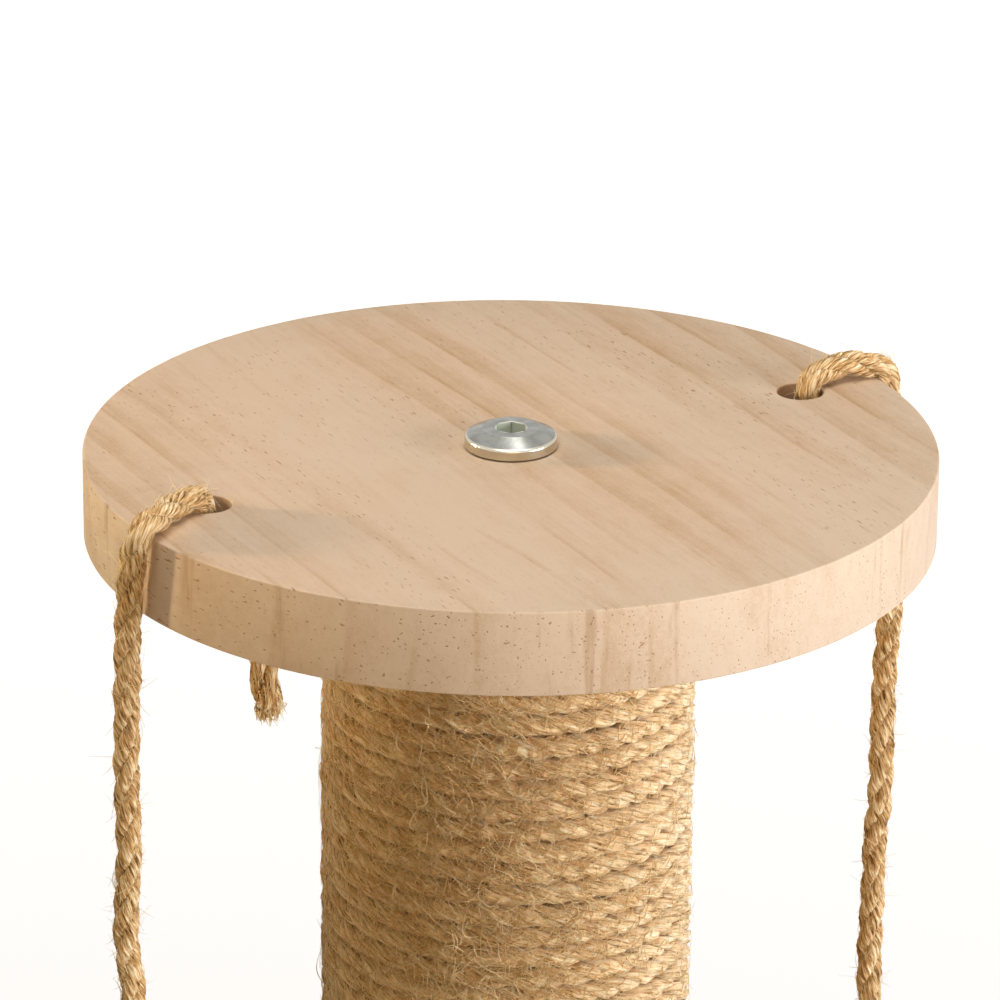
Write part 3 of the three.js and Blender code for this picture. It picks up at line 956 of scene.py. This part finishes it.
@dataclass(frozen=True)
class Bolt:
    """A furniture bolt: a low head with a bevel, a flat top and a hexagonal socket."""

    node: str
    upwards: bool
    finish: Material
    shank: float = 4 * MM
    head: float = 9.8 * MM
    packed_height: float = 3.4 * MM
    rim: float = 2.55 * MM
    height: float = 3.95 * MM
    flat: float = 6.2 * MM
    socket: float = 6 / math.sqrt(3) * MM
    socket_depth: float = 2.6 * MM
    socket_turn: float = -29
    soft: float = 0.75 * MM
    chamfer: float = 1 * MM
    foot: float = 0.2 * MM
    ease: float = 0.1 * MM
    mouth_ease: float = 0.08 * MM

    def build(self) -> Piece:
        """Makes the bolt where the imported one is."""
        low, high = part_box(self.node)
        length = high.z - low.z - self.packed_height
        profile = [
            (0, 0, -length),
            (self.shank - self.chamfer, 0, -length),
            (self.shank, 0, self.chamfer - length),
            (self.shank, 0, 0),
            *rounding(self.head - self.foot, self.foot, self.foot, -90, 0, 3),
            *rounding(self.head - self.soft, self.rim - self.soft, self.soft, 0, 62, 8),
            (self.flat, 0, self.height - self.ease),
            (self.flat - 1.5 * self.ease, 0, self.height),
            (self.socket + self.ease, 0, self.height),
        ]
        shape = spun(profile, 96)
        self.cut_socket(shape)
        if not self.upwards:
            over = Matrix.Rotation(math.pi, 3, "X")
            bmesh.ops.rotate(shape, verts=shape.verts, cent=(0, 0, 0), matrix=over)
        seat = high.z - self.packed_height if self.upwards else low.z + self.packed_height
        bmesh.ops.translate(shape, verts=shape.verts, vec=(0, 0, seat))
        name = self.node.replace("bolt", "furniture_bolt")
        return carry(piece_of(name, shape, self.finish, 14), Body.POST, Slot.ZINC, self.node)

    def cut_socket(self, shape: Shape) -> None:
        """Closes the open top of the head with a hexagonal socket that has an eased mouth."""
        rim = [edge for edge in shape.edges if len(edge.link_faces) == 1 and edge.verts[0].co.z > 0]
        turn = Matrix.Rotation(math.radians(self.socket_turn), 4, "Z")
        at = Matrix.Translation((0, 0, self.height - self.mouth_ease)) @ turn
        hexagon = edges_of(bmesh.ops.create_circle(shape, segments=6, radius=self.socket, matrix=at))
        bmesh.ops.triangle_fill(shape, edges=rim + hexagon, use_beauty=True, normal=(0, 0, 1))
        drawn = bmesh.ops.extrude_edge_only(shape, edges=hexagon)
        down = (0, 0, self.mouth_ease - self.socket_depth)
        bmesh.ops.translate(shape, verts=kind_of(drawn, Vert), vec=down)
        bmesh.ops.edgeloop_fill(shape, edges=kind_of(drawn, Edge))


@dataclass(frozen=True)
class Ball:
    """A turned pine ball with a hole along its axis."""

    node: str
    body: Body
    finish: Pine
    bore: float = 3.5 * MM
    ease: float = 0.7 * MM

    def build(self) -> Piece:
        """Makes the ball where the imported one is."""
        low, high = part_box(self.node)
        radius = (high.x - low.x) / 2
        mouth = self.bore + self.ease
        pole = math.degrees(math.acos(mouth / radius))
        flat = math.sqrt(radius**2 - mouth**2)
        inside = flat - 0.4 * self.ease
        profile = [
            (self.bore, 0, -inside + self.ease),
            (self.bore + 0.3 * self.ease, 0, -inside + 0.1 * self.ease),
            *rounding(0, 0, radius, -pole, pole, 56),
            (self.bore + 0.3 * self.ease, 0, inside - 0.1 * self.ease),
            (self.bore, 0, inside - self.ease),
            (self.bore, 0, -inside + self.ease),
        ]
        shape = spun(profile, 96, tuple((low + high) / 2))
        ball = piece_of(f"{self.node}_pine", shape, self.finish.material(), 50)
        return carry(ball, self.body, Slot.PINE, self.node)


# ---- Winding ----


@dataclass(frozen=True)
class Winding:
    """Jute cord wound down the tube from the top board to the base, with its loose fibres.

    Seam is the direction in which it starts, and worn the one round which its fibres stand up most. Sway
    holds how far the cord strays up and down, and over how many loops. Step is that of its rings, near the
    top and further down.
    """

    finish: Material
    loose: Material
    radius: float = 37.5 * MM
    pitch: float = 4.85 * MM
    seam: float = 60
    worn: float = -129
    first: float = 478.2 * MM
    last: float = 23.6 * MM
    near_loops: int = 24
    piece_loops: int = 12
    near: Twist = Twist(5.25 * MM, 17 * MM, 8, ridge=0.07, yarn_angle=24, press=1.33)
    far: Twist = Twist(5.25 * MM, 17 * MM, 8, ridge=0.05, yarn_angle=24, press=1.33)
    nap: Hair = Hair((1.5 * MM, 5 * MM), (0.07 * MM, 0.12 * MM), 0.2 * MM, 0.8, 4)
    stray: Hair = Hair((2.5 * MM, 8 * MM), (0.07 * MM, 0.13 * MM), 1.4 * MM, 1.1, 8)
    near_nap: int = 7000
    far_nap: int = 6000
    strays: int = 2400
    nap_spread: float = 1.05
    stray_spread: float = 0.75
    step: Pair = (1.0 * MM, 1.5 * MM)
    sway: tuple[Pair, ...] = ((0.12 * MM, 0.07), (0.22 * MM, 0.31))
    samples: int = 40000

    @property
    def total(self) -> float:
        """How many loops there are."""
        return (self.first - self.last) / self.pitch

    def build(self) -> None:
        """Makes the winding in pieces, and its fibres."""
        near, rest = self.near_loops, self.total - self.near_loops
        far = math.ceil(rest / (1.5 * self.piece_loops))
        loops = [*np.arange(0, near, self.piece_loops), near, *(near + rest * (1 + np.arange(far)) / far)]
        for number, (start, end) in enumerate(zip(loops, loops[1:]), 1):
            close = end <= near
            tubes = Tubes()
            twist, step = (self.near, self.step[0]) if close else (self.far, self.step[1])
            twist.lay_along(self.line(start, end, step), tubes, np.random.default_rng(100 + number))
            piece = tubes.piece(f"winding_{number}", self.finish)
            carry(piece, Body.POST, Slot.JUTE, "rope_winding" if close else "lower_winding")
        split = self.height(near)
        spans = (self.near_nap, (split, self.first)), (self.far_nap, (self.last, split))
        for number, (nap, heights) in enumerate(spans, 1):
            self.hair(f"winding_nap_{number}", self.nap, nap, heights, self.nap_spread, 7 + number)
            strays = f"winding_strays_{number}"
            self.hair(strays, self.stray, self.strays, heights, self.stray_spread, 17 + number)

    def height(self, loops: float | Rows) -> float | Rows:
        """The cord's height after a number of loops."""
        return self.first - self.pitch * loops

    def line(self, start: float, end: float, step: float) -> Line:
        """The middle of the cord between two numbers of loops."""
        round_it = math.tau * self.radius
        loops = np.linspace(start, end, round((end - start) * round_it / step) + 1)
        chance = np.random.default_rng(42)
        whole = np.linspace(0, self.total, self.samples)
        sway = sum(size * drift(whole, period, chance) for size, period in self.sway)
        angle = math.radians(self.seam) + math.tau * loops
        out = ring_of(angle, np.array((1, 0, 0)), np.array((0, 1, 0)))
        points = self.radius * out
        points[:, 2] = self.height(loops) + np.interp(loops, whole, sway)
        ahead = unit(np.gradient(points, axis=0))
        out = across(out, ahead)
        return Line(points, out, np.cross(ahead, out), loops * round_it)

    def hair(self, name: str, kind: Hair, count: int, heights: Pair, spread: float, seed: int) -> None:
        """Makes loose fibres on the winding.

        Args:
            name: the piece's name.
            kind: what the fibres are like.
            count: how many there are.
            heights: the lowest and the highest.
            spread: how far round they reach to either side of the worn side, in radians.
            seed: where their differences come from.
        """
        chance = np.random.default_rng(seed)
        angle = math.radians(self.worn) + spread * chance.normal(0, 0.6, count)
        height = chance.uniform(*heights, count)
        out = ring_of(angle, np.array((1, 0, 0)), np.array((0, 1, 0)))
        lean = chance.normal(0, 0.7, count) + np.where(chance.random(count) < 0.25, 1.2, 0.15)
        ahead = ring_of(lean, np.cross((0, 0, 1), out), np.array((0, 0, 1)))
        ahead = ahead * np.where(chance.random(count) < 0.5, 1, -1)[:, None]
        start = out * (self.radius + 0.47 * self.near.diameter)
        start[:, 2] = height
        tubes = Tubes()
        kind.grow(start, ahead, out, tubes, chance)
        carry(tubes.piece(name, self.loose, None), Body.POST, Slot.JUTE)


# ---- Ropes ----


@dataclass(frozen=True)
class RopeFinish:
    """The materials of a rope and of the loose fibres on it."""

    rope: Material
    loose: Material


@dataclass(frozen=True)
class Knot:
    """A stopper knot: the rope goes round itself on its way down, and returns over those turns.

    Tuck is the share of the way in which each end goes in, and returns is the share after which it climbs.
    """

    width: float
    height: float
    rope: Twist = Twist(5.2 * MM, 22 * MM, 14, ridge=0.06)
    tilt: float = 13
    turns: float = 2.55
    tuck: float = 0.1
    returns: float = 0.68

    def lay_along(self, top: Vector, turn: float, tubes: Tubes, chance: Chance) -> None:
        """Adds the turns below a point.

        Args:
            top: the middle of the knot's upper face.
            turn: the direction in degrees in which it is turned.
            tubes: where the turns are added.
            chance: where the unevenness comes from.
        """
        thick = self.rope.diameter
        reach = (self.width - thick) / 2
        t = np.linspace(0, 1, 90)
        angle = math.tau * self.turns * t
        tuck = np.clip(np.minimum(t, 1 - t) / self.tuck, 0, 1)
        back = np.clip((t - self.returns) / (1 - self.returns), 0, 1)
        drop = np.clip(t / self.returns, 0, 1)
        radius = reach * (0.3 + 0.7 * eased(tuck)) + 0.22 * thick * np.sin(math.pi * back)
        height = (self.height - thick) * (0.5 - drop + 0.95 * eased(back))
        points = np.stack([radius * np.cos(angle), radius * np.sin(angle), height], axis=1)
        lean = Matrix.Rotation(math.radians(turn), 3, "Z") @ Matrix.Rotation(math.radians(self.tilt), 3, "X")
        points = points @ np.array(lean).T + np.array(top - Vector((0, 0, self.height / 2)))
        self.rope.lay_along(Line.untwisted(smooth_route(points, 0.5 * MM)), tubes, chance, taper=1.5 * MM)


@dataclass(frozen=True)
class Tail:
    """The frayed end of a rope: a stub of the rope, whose strands come apart into fibres."""

    length: float = 19 * MM
    stub: float = 0.98
    fibres: int = 420
    rope: Twist = Twist(6.4 * MM, 30 * MM, 24, yarns=7, ridge=0.1, yarn_angle=30, uneven=0.14)
    hair: Hair = Hair((1.5 * MM, 3.6 * MM), (0.1 * MM, 0.17 * MM), 0.5 * MM, 0.25, 5)

    def build(self, name: str, root: Vector, tip: Vector, jute: RopeFinish, chance: Chance) -> list[Piece]:
        """Makes the frayed end.

        Args:
            name: the piece's name.
            root: where it leaves the knot.
            tip: where its longest fibres end.
            jute: the materials of its strands and fibres.
            chance: where their differences come from.

        Returns:
            The strands and the fibres.
        """
        start, end = np.array(root), np.array(tip)
        ahead = unit(end - start)
        side = unit(np.cross(ahead, (0.2, 1, 0.3)))
        strands, hairs = Tubes(), Tubes()
        reach = self.stub * self.length
        points = start + np.linspace(0, reach, 30)[:, None] * ahead
        self.rope.lay_along(Line.untwisted(points), strands, chance, taper=1.2 * MM)
        many = self.fibres
        out = ring_of(chance.uniform(0, math.tau, many), side, np.cross(ahead, side))
        from_axis = np.sqrt(chance.random(many))[:, None] * 0.45 * self.rope.diameter
        along = (1 - 0.75 * chance.random(many)[:, None] ** 2.2) * reach
        begin = start + along * ahead + out * from_axis
        flare = chance.normal(-0.2, 0.2, (many, 1))
        aim = unit(ahead + out * flare + chance.normal(0, 0.12, (many, 3)))
        self.hair.grow(begin, aim, out, hairs, chance)
        return [strands.piece(f"{name}_strands", jute.rope), hairs.piece(f"{name}_fibres", jute.loose, None)]


@dataclass(frozen=True)
class RopeToy:
    """A rope that comes up through the top board, hangs over its rim and carries a ball between knots.

    The points of its route are x, y and height over the board's top, in millimetres, as are the places of its
    anchor knot and of the ends of its tail. It is made in two pieces, which meet at the bend's point seam.
    """

    side: str
    over: tuple[Point, ...]
    bend: tuple[Point, ...]
    hanging: tuple[Point, ...]
    crest: Point
    swing: Pair
    anchor: Pair
    anchor_tail: Pair
    tail_tip: Pair
    seed: int
    seam: int = 5
    low_points: tuple[float, ...] = (-185.0, -198.0, -212.0)
    rope: Twist = Twist(5.5 * MM, 24 * MM, 24, yarns=7, ridge=0.09, yarn_angle=50, uneven=0.06, press=1.26)
    anchor_knot: Knot = Knot(15.4 * MM, 10.8 * MM, tilt=6)
    stop_knot: Knot = Knot(14.2 * MM, 11.4 * MM)
    tail: Tail = Tail()
    hair: Hair = Hair((1.2 * MM, 5 * MM), (0.05 * MM, 0.09 * MM), 0.4 * MM, 0.6, 5)
    hairs_per_metre: int = 5200
    hairs_per_knot: int = 260
    pivot: float = 12 * MM
    crest_span: Pair = (-3.2 * MM, 3.8 * MM)
    pivot_span: float = 6 * MM
    pressed: float = 0.3 * MM

    def body(self, part: str) -> Body:
        """The body of this side's bend, toy or ball."""
        return Body[f"{self.side}_{part}".upper()]

    def build(self, top: float, jute: RopeFinish, wood: Pine) -> None:
        """Makes the rope, its knots, its tails and its ball.

        Args:
            top: the height of the board's upper face.
            jute: the materials of the rope and its loose fibres.
            wood: the finish of the ball.
        """
        chance = np.random.default_rng(self.seed)
        ball = Ball(f"{self.side}_ball", self.body("ball"), wood).build()
        line, seam = self.middle(top)
        foot = Vector(line.points[-1])
        toy = self.body("toy")
        over = self.cord("over_rim", line, (0, seam), jute, chance)
        down = self.cord("hanging", line, (seam, len(line.points) - 1), jute, chance)
        anchor_at = (*(part * MM for part in self.anchor), self.knot_top("anchor_knot") + self.pressed)
        anchor_top = Vector(anchor_at)
        anchor = self.knot("anchor_knot", self.anchor_knot, anchor_top, Body.POST, jute, chance)
        stops = []
        for name in ("upper_knot", "end_knot"):
            knot_top = Vector((foot.x, foot.y, self.knot_top(name)))
            stops += self.knot(name, self.stop_knot, knot_top, toy, jute, chance)
        out_of_knot = (*(part * MM for part in self.anchor_tail), -0.83 * self.anchor_knot.height)
        root = anchor_top + Vector(out_of_knot)
        lean = Vector((*(part * MM for part in self.tail_tip), -self.tail.length))
        tail = self.tail.build(f"{self.side}_anchor_tail", root, root + lean, jute, chance)
        end_tail = self.tail.build(f"{self.side}_end_tail", foot, foot + lean, jute, chance)
        for pieces, body in ((tail, Body.POST), (end_tail, toy)):
            for piece in pieces:
                carry(piece, body, Slot.JUTE)
        self.declare(line, (0, seam))
        self.declare(line, (seam, len(line.points) - 1))

    def knot_top(self, name: str) -> float:
        """The height of the top of a packed knot."""
        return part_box(f"{self.side}_{name}")[1].z

    def middle(self, top: float) -> tuple[Line, int]:
        """The rope's middle line down to the end knot, and the number of its point at the seam."""
        low = (self.knot_top("end_knot") - top) / MM - 0.6 * self.stop_knot.height / MM
        x, y, _ = self.hanging[-1]
        route = [*self.over, *self.bend, *self.hanging, *((x, y, z) for z in (*self.low_points, low))]
        route = [Vector(point) * MM + Vector((0, 0, top)) for point in route]
        line = Line.untwisted(smooth_route(route, 0.5 * MM))
        seam = np.array(route[len(self.over) + self.seam - 1])
        return line, int(np.argmin(np.linalg.norm(line.points - seam, axis=1)))

    def cord(self, name: str, line: Line, span: Span, jute: RopeFinish, chance: Chance) -> list[Piece]:
        """Makes a stretch of the rope and its loose fibres.

        Args:
            name: over_rim or hanging.
            line: the whole rope's middle.
            span: the numbers of the line's points at the stretch's ends.
            jute: the materials.
            chance: where the fibres' differences come from.

        Returns:
            The rope's piece and the fibres' piece.
        """
        tubes = Tubes()
        self.rope.lay_along(line, tubes, np.random.default_rng(self.seed + 1))
        cord = self.stretch(tubes, *span).piece(f"{self.side}_rope_{name}", jute.rope)
        fibres = self.fuzz(line.part(*span), chance).piece(f"{self.side}_fibres_{name}", jute.loose, None)
        bend = self.body("bend")
        if name == "over_rim":
            first, second = Body.POST, bend
            nodes = ("rope_over_top", "rope_over_rim")
        else:
            first, second = bend, self.body("toy")
            nodes = ("rope_over_rim", "rope_hanging", "rope_in_ball")
        for piece in (cord, fibres):
            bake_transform(piece)
        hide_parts(*(f"{self.side}_{node}" for node in nodes))
        log.info("%s, %d faces", cord.name, len(cord.data.polygons))
        return [cord, fibres]

    def stretch(self, tubes: Tubes, start: int, end: int) -> Tubes:
        """The rings of each strand from one number to another, as new tubes."""
        part = Tubes()
        for both in zip(tubes.points, tubes.fibre):
            part.add(*(some.reshape(1, -1, self.rope.sides, 3)[:, start : end + 1] for some in both))
        return part

    def fuzz(self, part: Line, chance: Chance) -> Tubes:
        """The loose fibres on a stretch of the rope."""
        many = round((part.along[-1] - part.along[0]) * self.hairs_per_metre)
        at = chance.integers(0, len(part.points) - 1, many)
        out = ring_of(chance.uniform(0, math.tau, many), part.outwards[at], part.sideways[at])
        along = unit(np.gradient(part.points, axis=0))[at]
        ahead = ring_of(chance.normal(0.1, 0.5, many), along, np.cross(out, along))
        ahead = ahead * np.where(chance.random(many) < 0.5, 1, -1)[:, None]
        hairs = Tubes()
        self.hair.grow(part.points[at] + out * 0.43 * self.rope.diameter, ahead, out, hairs, chance)
        return hairs

    def knot(
        self, name: str, shape: Knot, top: Vector, body: Body, jute: RopeFinish, chance: Chance,
    ) -> list[Piece]:
        """Makes one knot and the loose fibres on it, and returns both."""
        tubes, hairs = Tubes(), Tubes()
        shape.lay_along(top, chance.uniform(0, 360), tubes, chance)
        turns = tubes.piece(f"{self.side}_{name}_turns", jute.rope)
        out, ahead = (unit(chance.normal(0, 1, (self.hairs_per_knot, 3))) for _ in range(2))
        centre = np.array(top - Vector((0, 0, shape.height / 2)))
        reach = np.array((shape.width, shape.width, shape.height)) * 0.46
        self.hair.grow(centre + out * reach, ahead, out, hairs, chance)
        fibres = hairs.piece(f"{self.side}_{name}_fibres", jute.loose, None)
        return [carry(turns, body, Slot.JUTE, f"{self.side}_{name}"), carry(fibres, body, Slot.JUTE)]

    def declare(self, line: Line, span: Span) -> None:
        """Reads a stretch's points and length, and keeps neither."""
        start, end = span
        path = line.points[start : end + 1]
        float(line.along[end] - line.along[start])


RIGHT_TOY = RopeToy(
    side="right",
    over=(
        (71.8, 0, -18), (72, 0, -9), (72.4, 0.1, -3.4), (73.3, 0.4, 0.4),
        (75.6, 0.8, 2.6), (79.6, 1.2, 3.6), (83, 1.2, 3.75), (86.2, 0.9, 3.5),
    ),
    bend=(
        (88.6, 0.5, 2.85), (90.3, 0.2, 2.5), (91.8, 0, 1.55), (92.9, -0.1, -0.3), (93.3, -0.1, -2.8),
        (93.8, -0.1, -6), (94.2, 0, -9),
    ),
    hanging=(
        (94.6, 0, -12), (95, 0, -16), (95.4, -0.2, -24), (95.7, -0.5, -36), (95.8, -0.5, -50),
        (95.7, 0.2, -63), (95.6, 0.8, -69), (95.6, 0.8, -81), (95.6, 1, -87), (95.6, 0.8, -92),
        (95.6, 1.2, -104), (95.6, 2.3, -111), (95.6, 2.5, -123), (95.6, 3, -132), (95.6, 3, -141),
        (95.6, 2.4, -153), (95.6, 1.2, -163), (95.6, 0.2, -170), (95.6, 0, -173.7),
    ),
    crest=(83.2 * MM, 0, 504.2 * MM),
    swing=(1, 0),
    anchor=(70, 0),
    anchor_tail=(-3, 2),
    tail_tip=(-6, 4),
    seed=11,
)

LEFT_TOY = RopeToy(
    side="left",
    over=(
        (-71.8, -0.2, -18), (-71.9, -0.4, -9), (-72.1, -0.6, -3), (-72.7, -1, 0), (-73.9, -2, 1.9),
        (-75.3, -3, 2.9), (-77.4, -3.8, 3.3), (-79.4, -4.6, 3.4), (-81.9, -6, 3.4), (-84.7, -8.2, 3.4),
    ),
    bend=(
        (-86.9, -9.9, 3.4), (-88.8, -11.2, 3.35), (-90.6, -12.3, 3.1), (-92, -12.8, 2),
        (-93, -12.6, 0.1), (-93.2, -12, -2), (-93.3, -11.5, -4.3), (-93.4, -11.1, -6.5), (-93.5, -10.7, -9),
    ),
    hanging=(
        (-93.5, -10.2, -12), (-93.6, -9.7, -16), (-93.6, -9, -22), (-93.6, -8.3, -36), (-93.6, -7.6, -50),
        (-93.6, -7.7, -61), (-93.6, -8.1, -71), (-93.6, -7, -78), (-93.6, -6.4, -94), (-93.6, -8.2, -99),
        (-93.5, -9.5, -112), (-93.5, -10.6, -135), (-93.4, -11.6, -155), (-93.36, -12.3, -168),
        (-93.36, -12.37, -173.7),
    ),
    crest=(-84.4 * MM, -10.3 * MM, 503.4 * MM),
    swing=(-0.97437, -0.22495),
    anchor=(-69.4, -1.8),
    anchor_tail=(7.4, -3.2),
    tail_tip=(1.8, -1),
    seed=31,
)


# ---- Studio ----


@dataclass(frozen=True)
class Lamp:
    """A square lamp that faces the post's top.

    Its azimuth is measured from the camera's, in degrees to the right, and its level is how brightly it
    lights a white surface that faces it. Its spread is how wide its beam is, in degrees, and above is how far
    over the target it aims.
    """

    name: str
    azimuth: float
    elevation: float
    distance: float
    size: float
    level: float
    colour: tuple[float, float, float]
    spread: float = 180
    above: float = 0


@dataclass
class Studio:
    """The floor, the lamps and the camera."""

    at: Point = (-0.5742, -1.0444, 0.96533)
    aim: Point = (-0.003937, -0.002594, 0.4884)
    roll: float = 0.53
    lens: float = 219.0
    azimuth: float = -28.8
    target: Point = (0, 0, 0.45)
    ambient: float = 0.12
    tint: Colour = (1, 0.72, 0.38, 1)
    lamps: tuple[Lamp, ...] = (
        Lamp("key_lamp", 67, 4, 1.5, 0.8, 1.0, (0.98, 1, 1.04)),
        Lamp("left_lamp", -97, 5, 1.2, 0.12, 1.55, (1, 0.83, 0.5), 20, 0.14),
        Lamp("high_lamp", -25, 62, 1.7, 0.6, 0.2, (1, 0.93, 0.76)),
        Lamp("top_lamp", 30, 80, 1.7, 1.2, 0.54, (0.99, 1, 1.01)),
        Lamp("fill_lamp", 5, 4, 1.6, 0.9, 0.2, (1, 0.73, 0.36)),
    )

    def build(self) -> None:
        """Makes the studio."""
        self.camera()
        self.floor()
        self.world()
        for lamp in self.lamps:
            self.lamp(lamp)

    def camera(self) -> None:
        """Puts the camera where the photograph was taken from."""
        data = bpy.data.cameras.new("camera")
        data.sensor_width = 36
        data.lens = self.lens
        at = Vector(self.at)
        bpy.context.scene.camera = aimed("camera", data, at, Vector(self.aim) - at, self.roll)

    def lamp(self, lamp: Lamp) -> None:
        """Hangs one lamp."""
        around, up = math.radians(self.azimuth + lamp.azimuth), math.radians(lamp.elevation)
        way = Vector((math.sin(around) * math.cos(up), -math.cos(around) * math.cos(up), math.sin(up)))
        data = bpy.data.lights.new(lamp.name, "AREA")
        data.shape = "SQUARE"
        data.size = lamp.size
        data.energy = lamp.level * (math.pi * lamp.distance) ** 2
        if lamp.spread < 180:
            half = math.radians(lamp.spread / 2)
            data.spread = 2 * half
            data.energy *= 1 - half / math.tan(half)
        data.color = lamp.colour
        at = Vector(self.target) + Vector((0, 0, lamp.above)) + way * lamp.distance
        aimed(lamp.name, data, at, -way)

    def seen_share(self, nodes: Nodes) -> Shade:
        """1 for a ray from the camera, from a gloss or through glass, and otherwise 0."""
        path = nodes.add("ShaderNodeLightPath")
        rays = ("Is Camera Ray", "Is Glossy Ray", "Is Transmission Ray")
        first, second, third = (Shade(nodes, path.outputs[ray]) for ray in rays)
        seen = first + second + third
        return seen.maths("MINIMUM", seen, 1.0)

    def floor(self) -> None:
        """Lays a white floor that keeps the shadow."""
        shape = bmesh.new()
        bmesh.ops.create_grid(shape, x_segments=1, y_segments=1, size=6)
        nodes = Nodes("studio_floor")
        matt = nodes.add("ShaderNodeBsdfDiffuse", inputs={"Color": srgb(164, 158, 150)})
        x, y, _ = nodes.parts(nodes.place())
        away = x.hypot(y).band(0.3, 1.6)
        strength = self.seen_share(nodes) * (away * 0.28 + 0.72)
        glow = nodes.add("ShaderNodeEmission", inputs={"Color": (1, 1, 1, 1), "Strength": strength})
        both = nodes.add("ShaderNodeAddShader", inputs={0: matt.outputs[0], 1: glow.outputs[0]})
        nodes.add("ShaderNodeOutputMaterial", inputs={"Surface": both.outputs[0]})
        piece_of("studio_floor", shape, nodes.owner)

    def world(self) -> None:
        """Surrounds the studio with white that lights it softly."""
        nodes = Nodes("studio", world=True)
        seen = self.seen_share(nodes)
        strength = seen * (1 - self.ambient) + self.ambient
        colour = nodes.mix(seen, self.tint, (1, 1, 1, 1))
        back = nodes.add("ShaderNodeBackground", inputs={"Color": colour, "Strength": strength})
        nodes.add("ShaderNodeOutputWorld", inputs={"Surface": back.outputs[0]})
        bpy.context.scene.world = nodes.owner


def main() -> None:
    """Builds the studio, the toys on their ropes and the post."""
    logging.basicConfig(level=logging.INFO, format="%(message)s")
    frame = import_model()
    Studio().build()

    zinc = Zinc().material()
    loose = LooseFibre().material()
    jute = RopeFinish(HANGING_ROPE.material(), loose)
    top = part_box("top_disc")[1].z
    for toy, turn, shift in ((RIGHT_TOY, 20, (0.2, 0.1, 0)), (LEFT_TOY, 70, (0.4, 0.2, 0))):
        wood = Pine(f"{toy.side}_ball_pine", (0, 0, turn), shift, pith=(0.05, -0.02), ring=3 * MM)
        toy.build(top, jute, wood)
    # the top board gets painted shade inside its rope holes
    Disc(Pine("top_board_pine", rim=89.7 * MM, bores=Disc.rope_ring)).build()
    Base(Pine("base_board_pine", (0, 0, 24), (0.3, 0.1, 0.05), pith=(0.9, 0.02))).build()
    Winding(WOUND_CORD.material(), loose).build()
    Bolt("top_bolt", True, zinc).build()
    Bolt("base_bolt", False, zinc).build()
    Pads(FELT).build()

    inner = {Slot.PAPER: PAPER.material(), Slot.PINE: Pine("plug_pine").material(), Slot.ZINC: zinc}
    slots = {part["node"]: part["material_slot"] for part in frame["record"]["subparts"]}
    for name in ("post_tube", "top_plug", "base_plug", "top_insert", "base_insert"):
        mesh = frame["nodes"][name].data
        mesh.materials.clear()
        mesh.materials.append(inner[Slot(slots[name])])
        log.info("%s keeps its packed mesh", name)

    bpy.context.scene.view_settings.view_transform = "Standard"


if __name__ == "__main__":
    main()
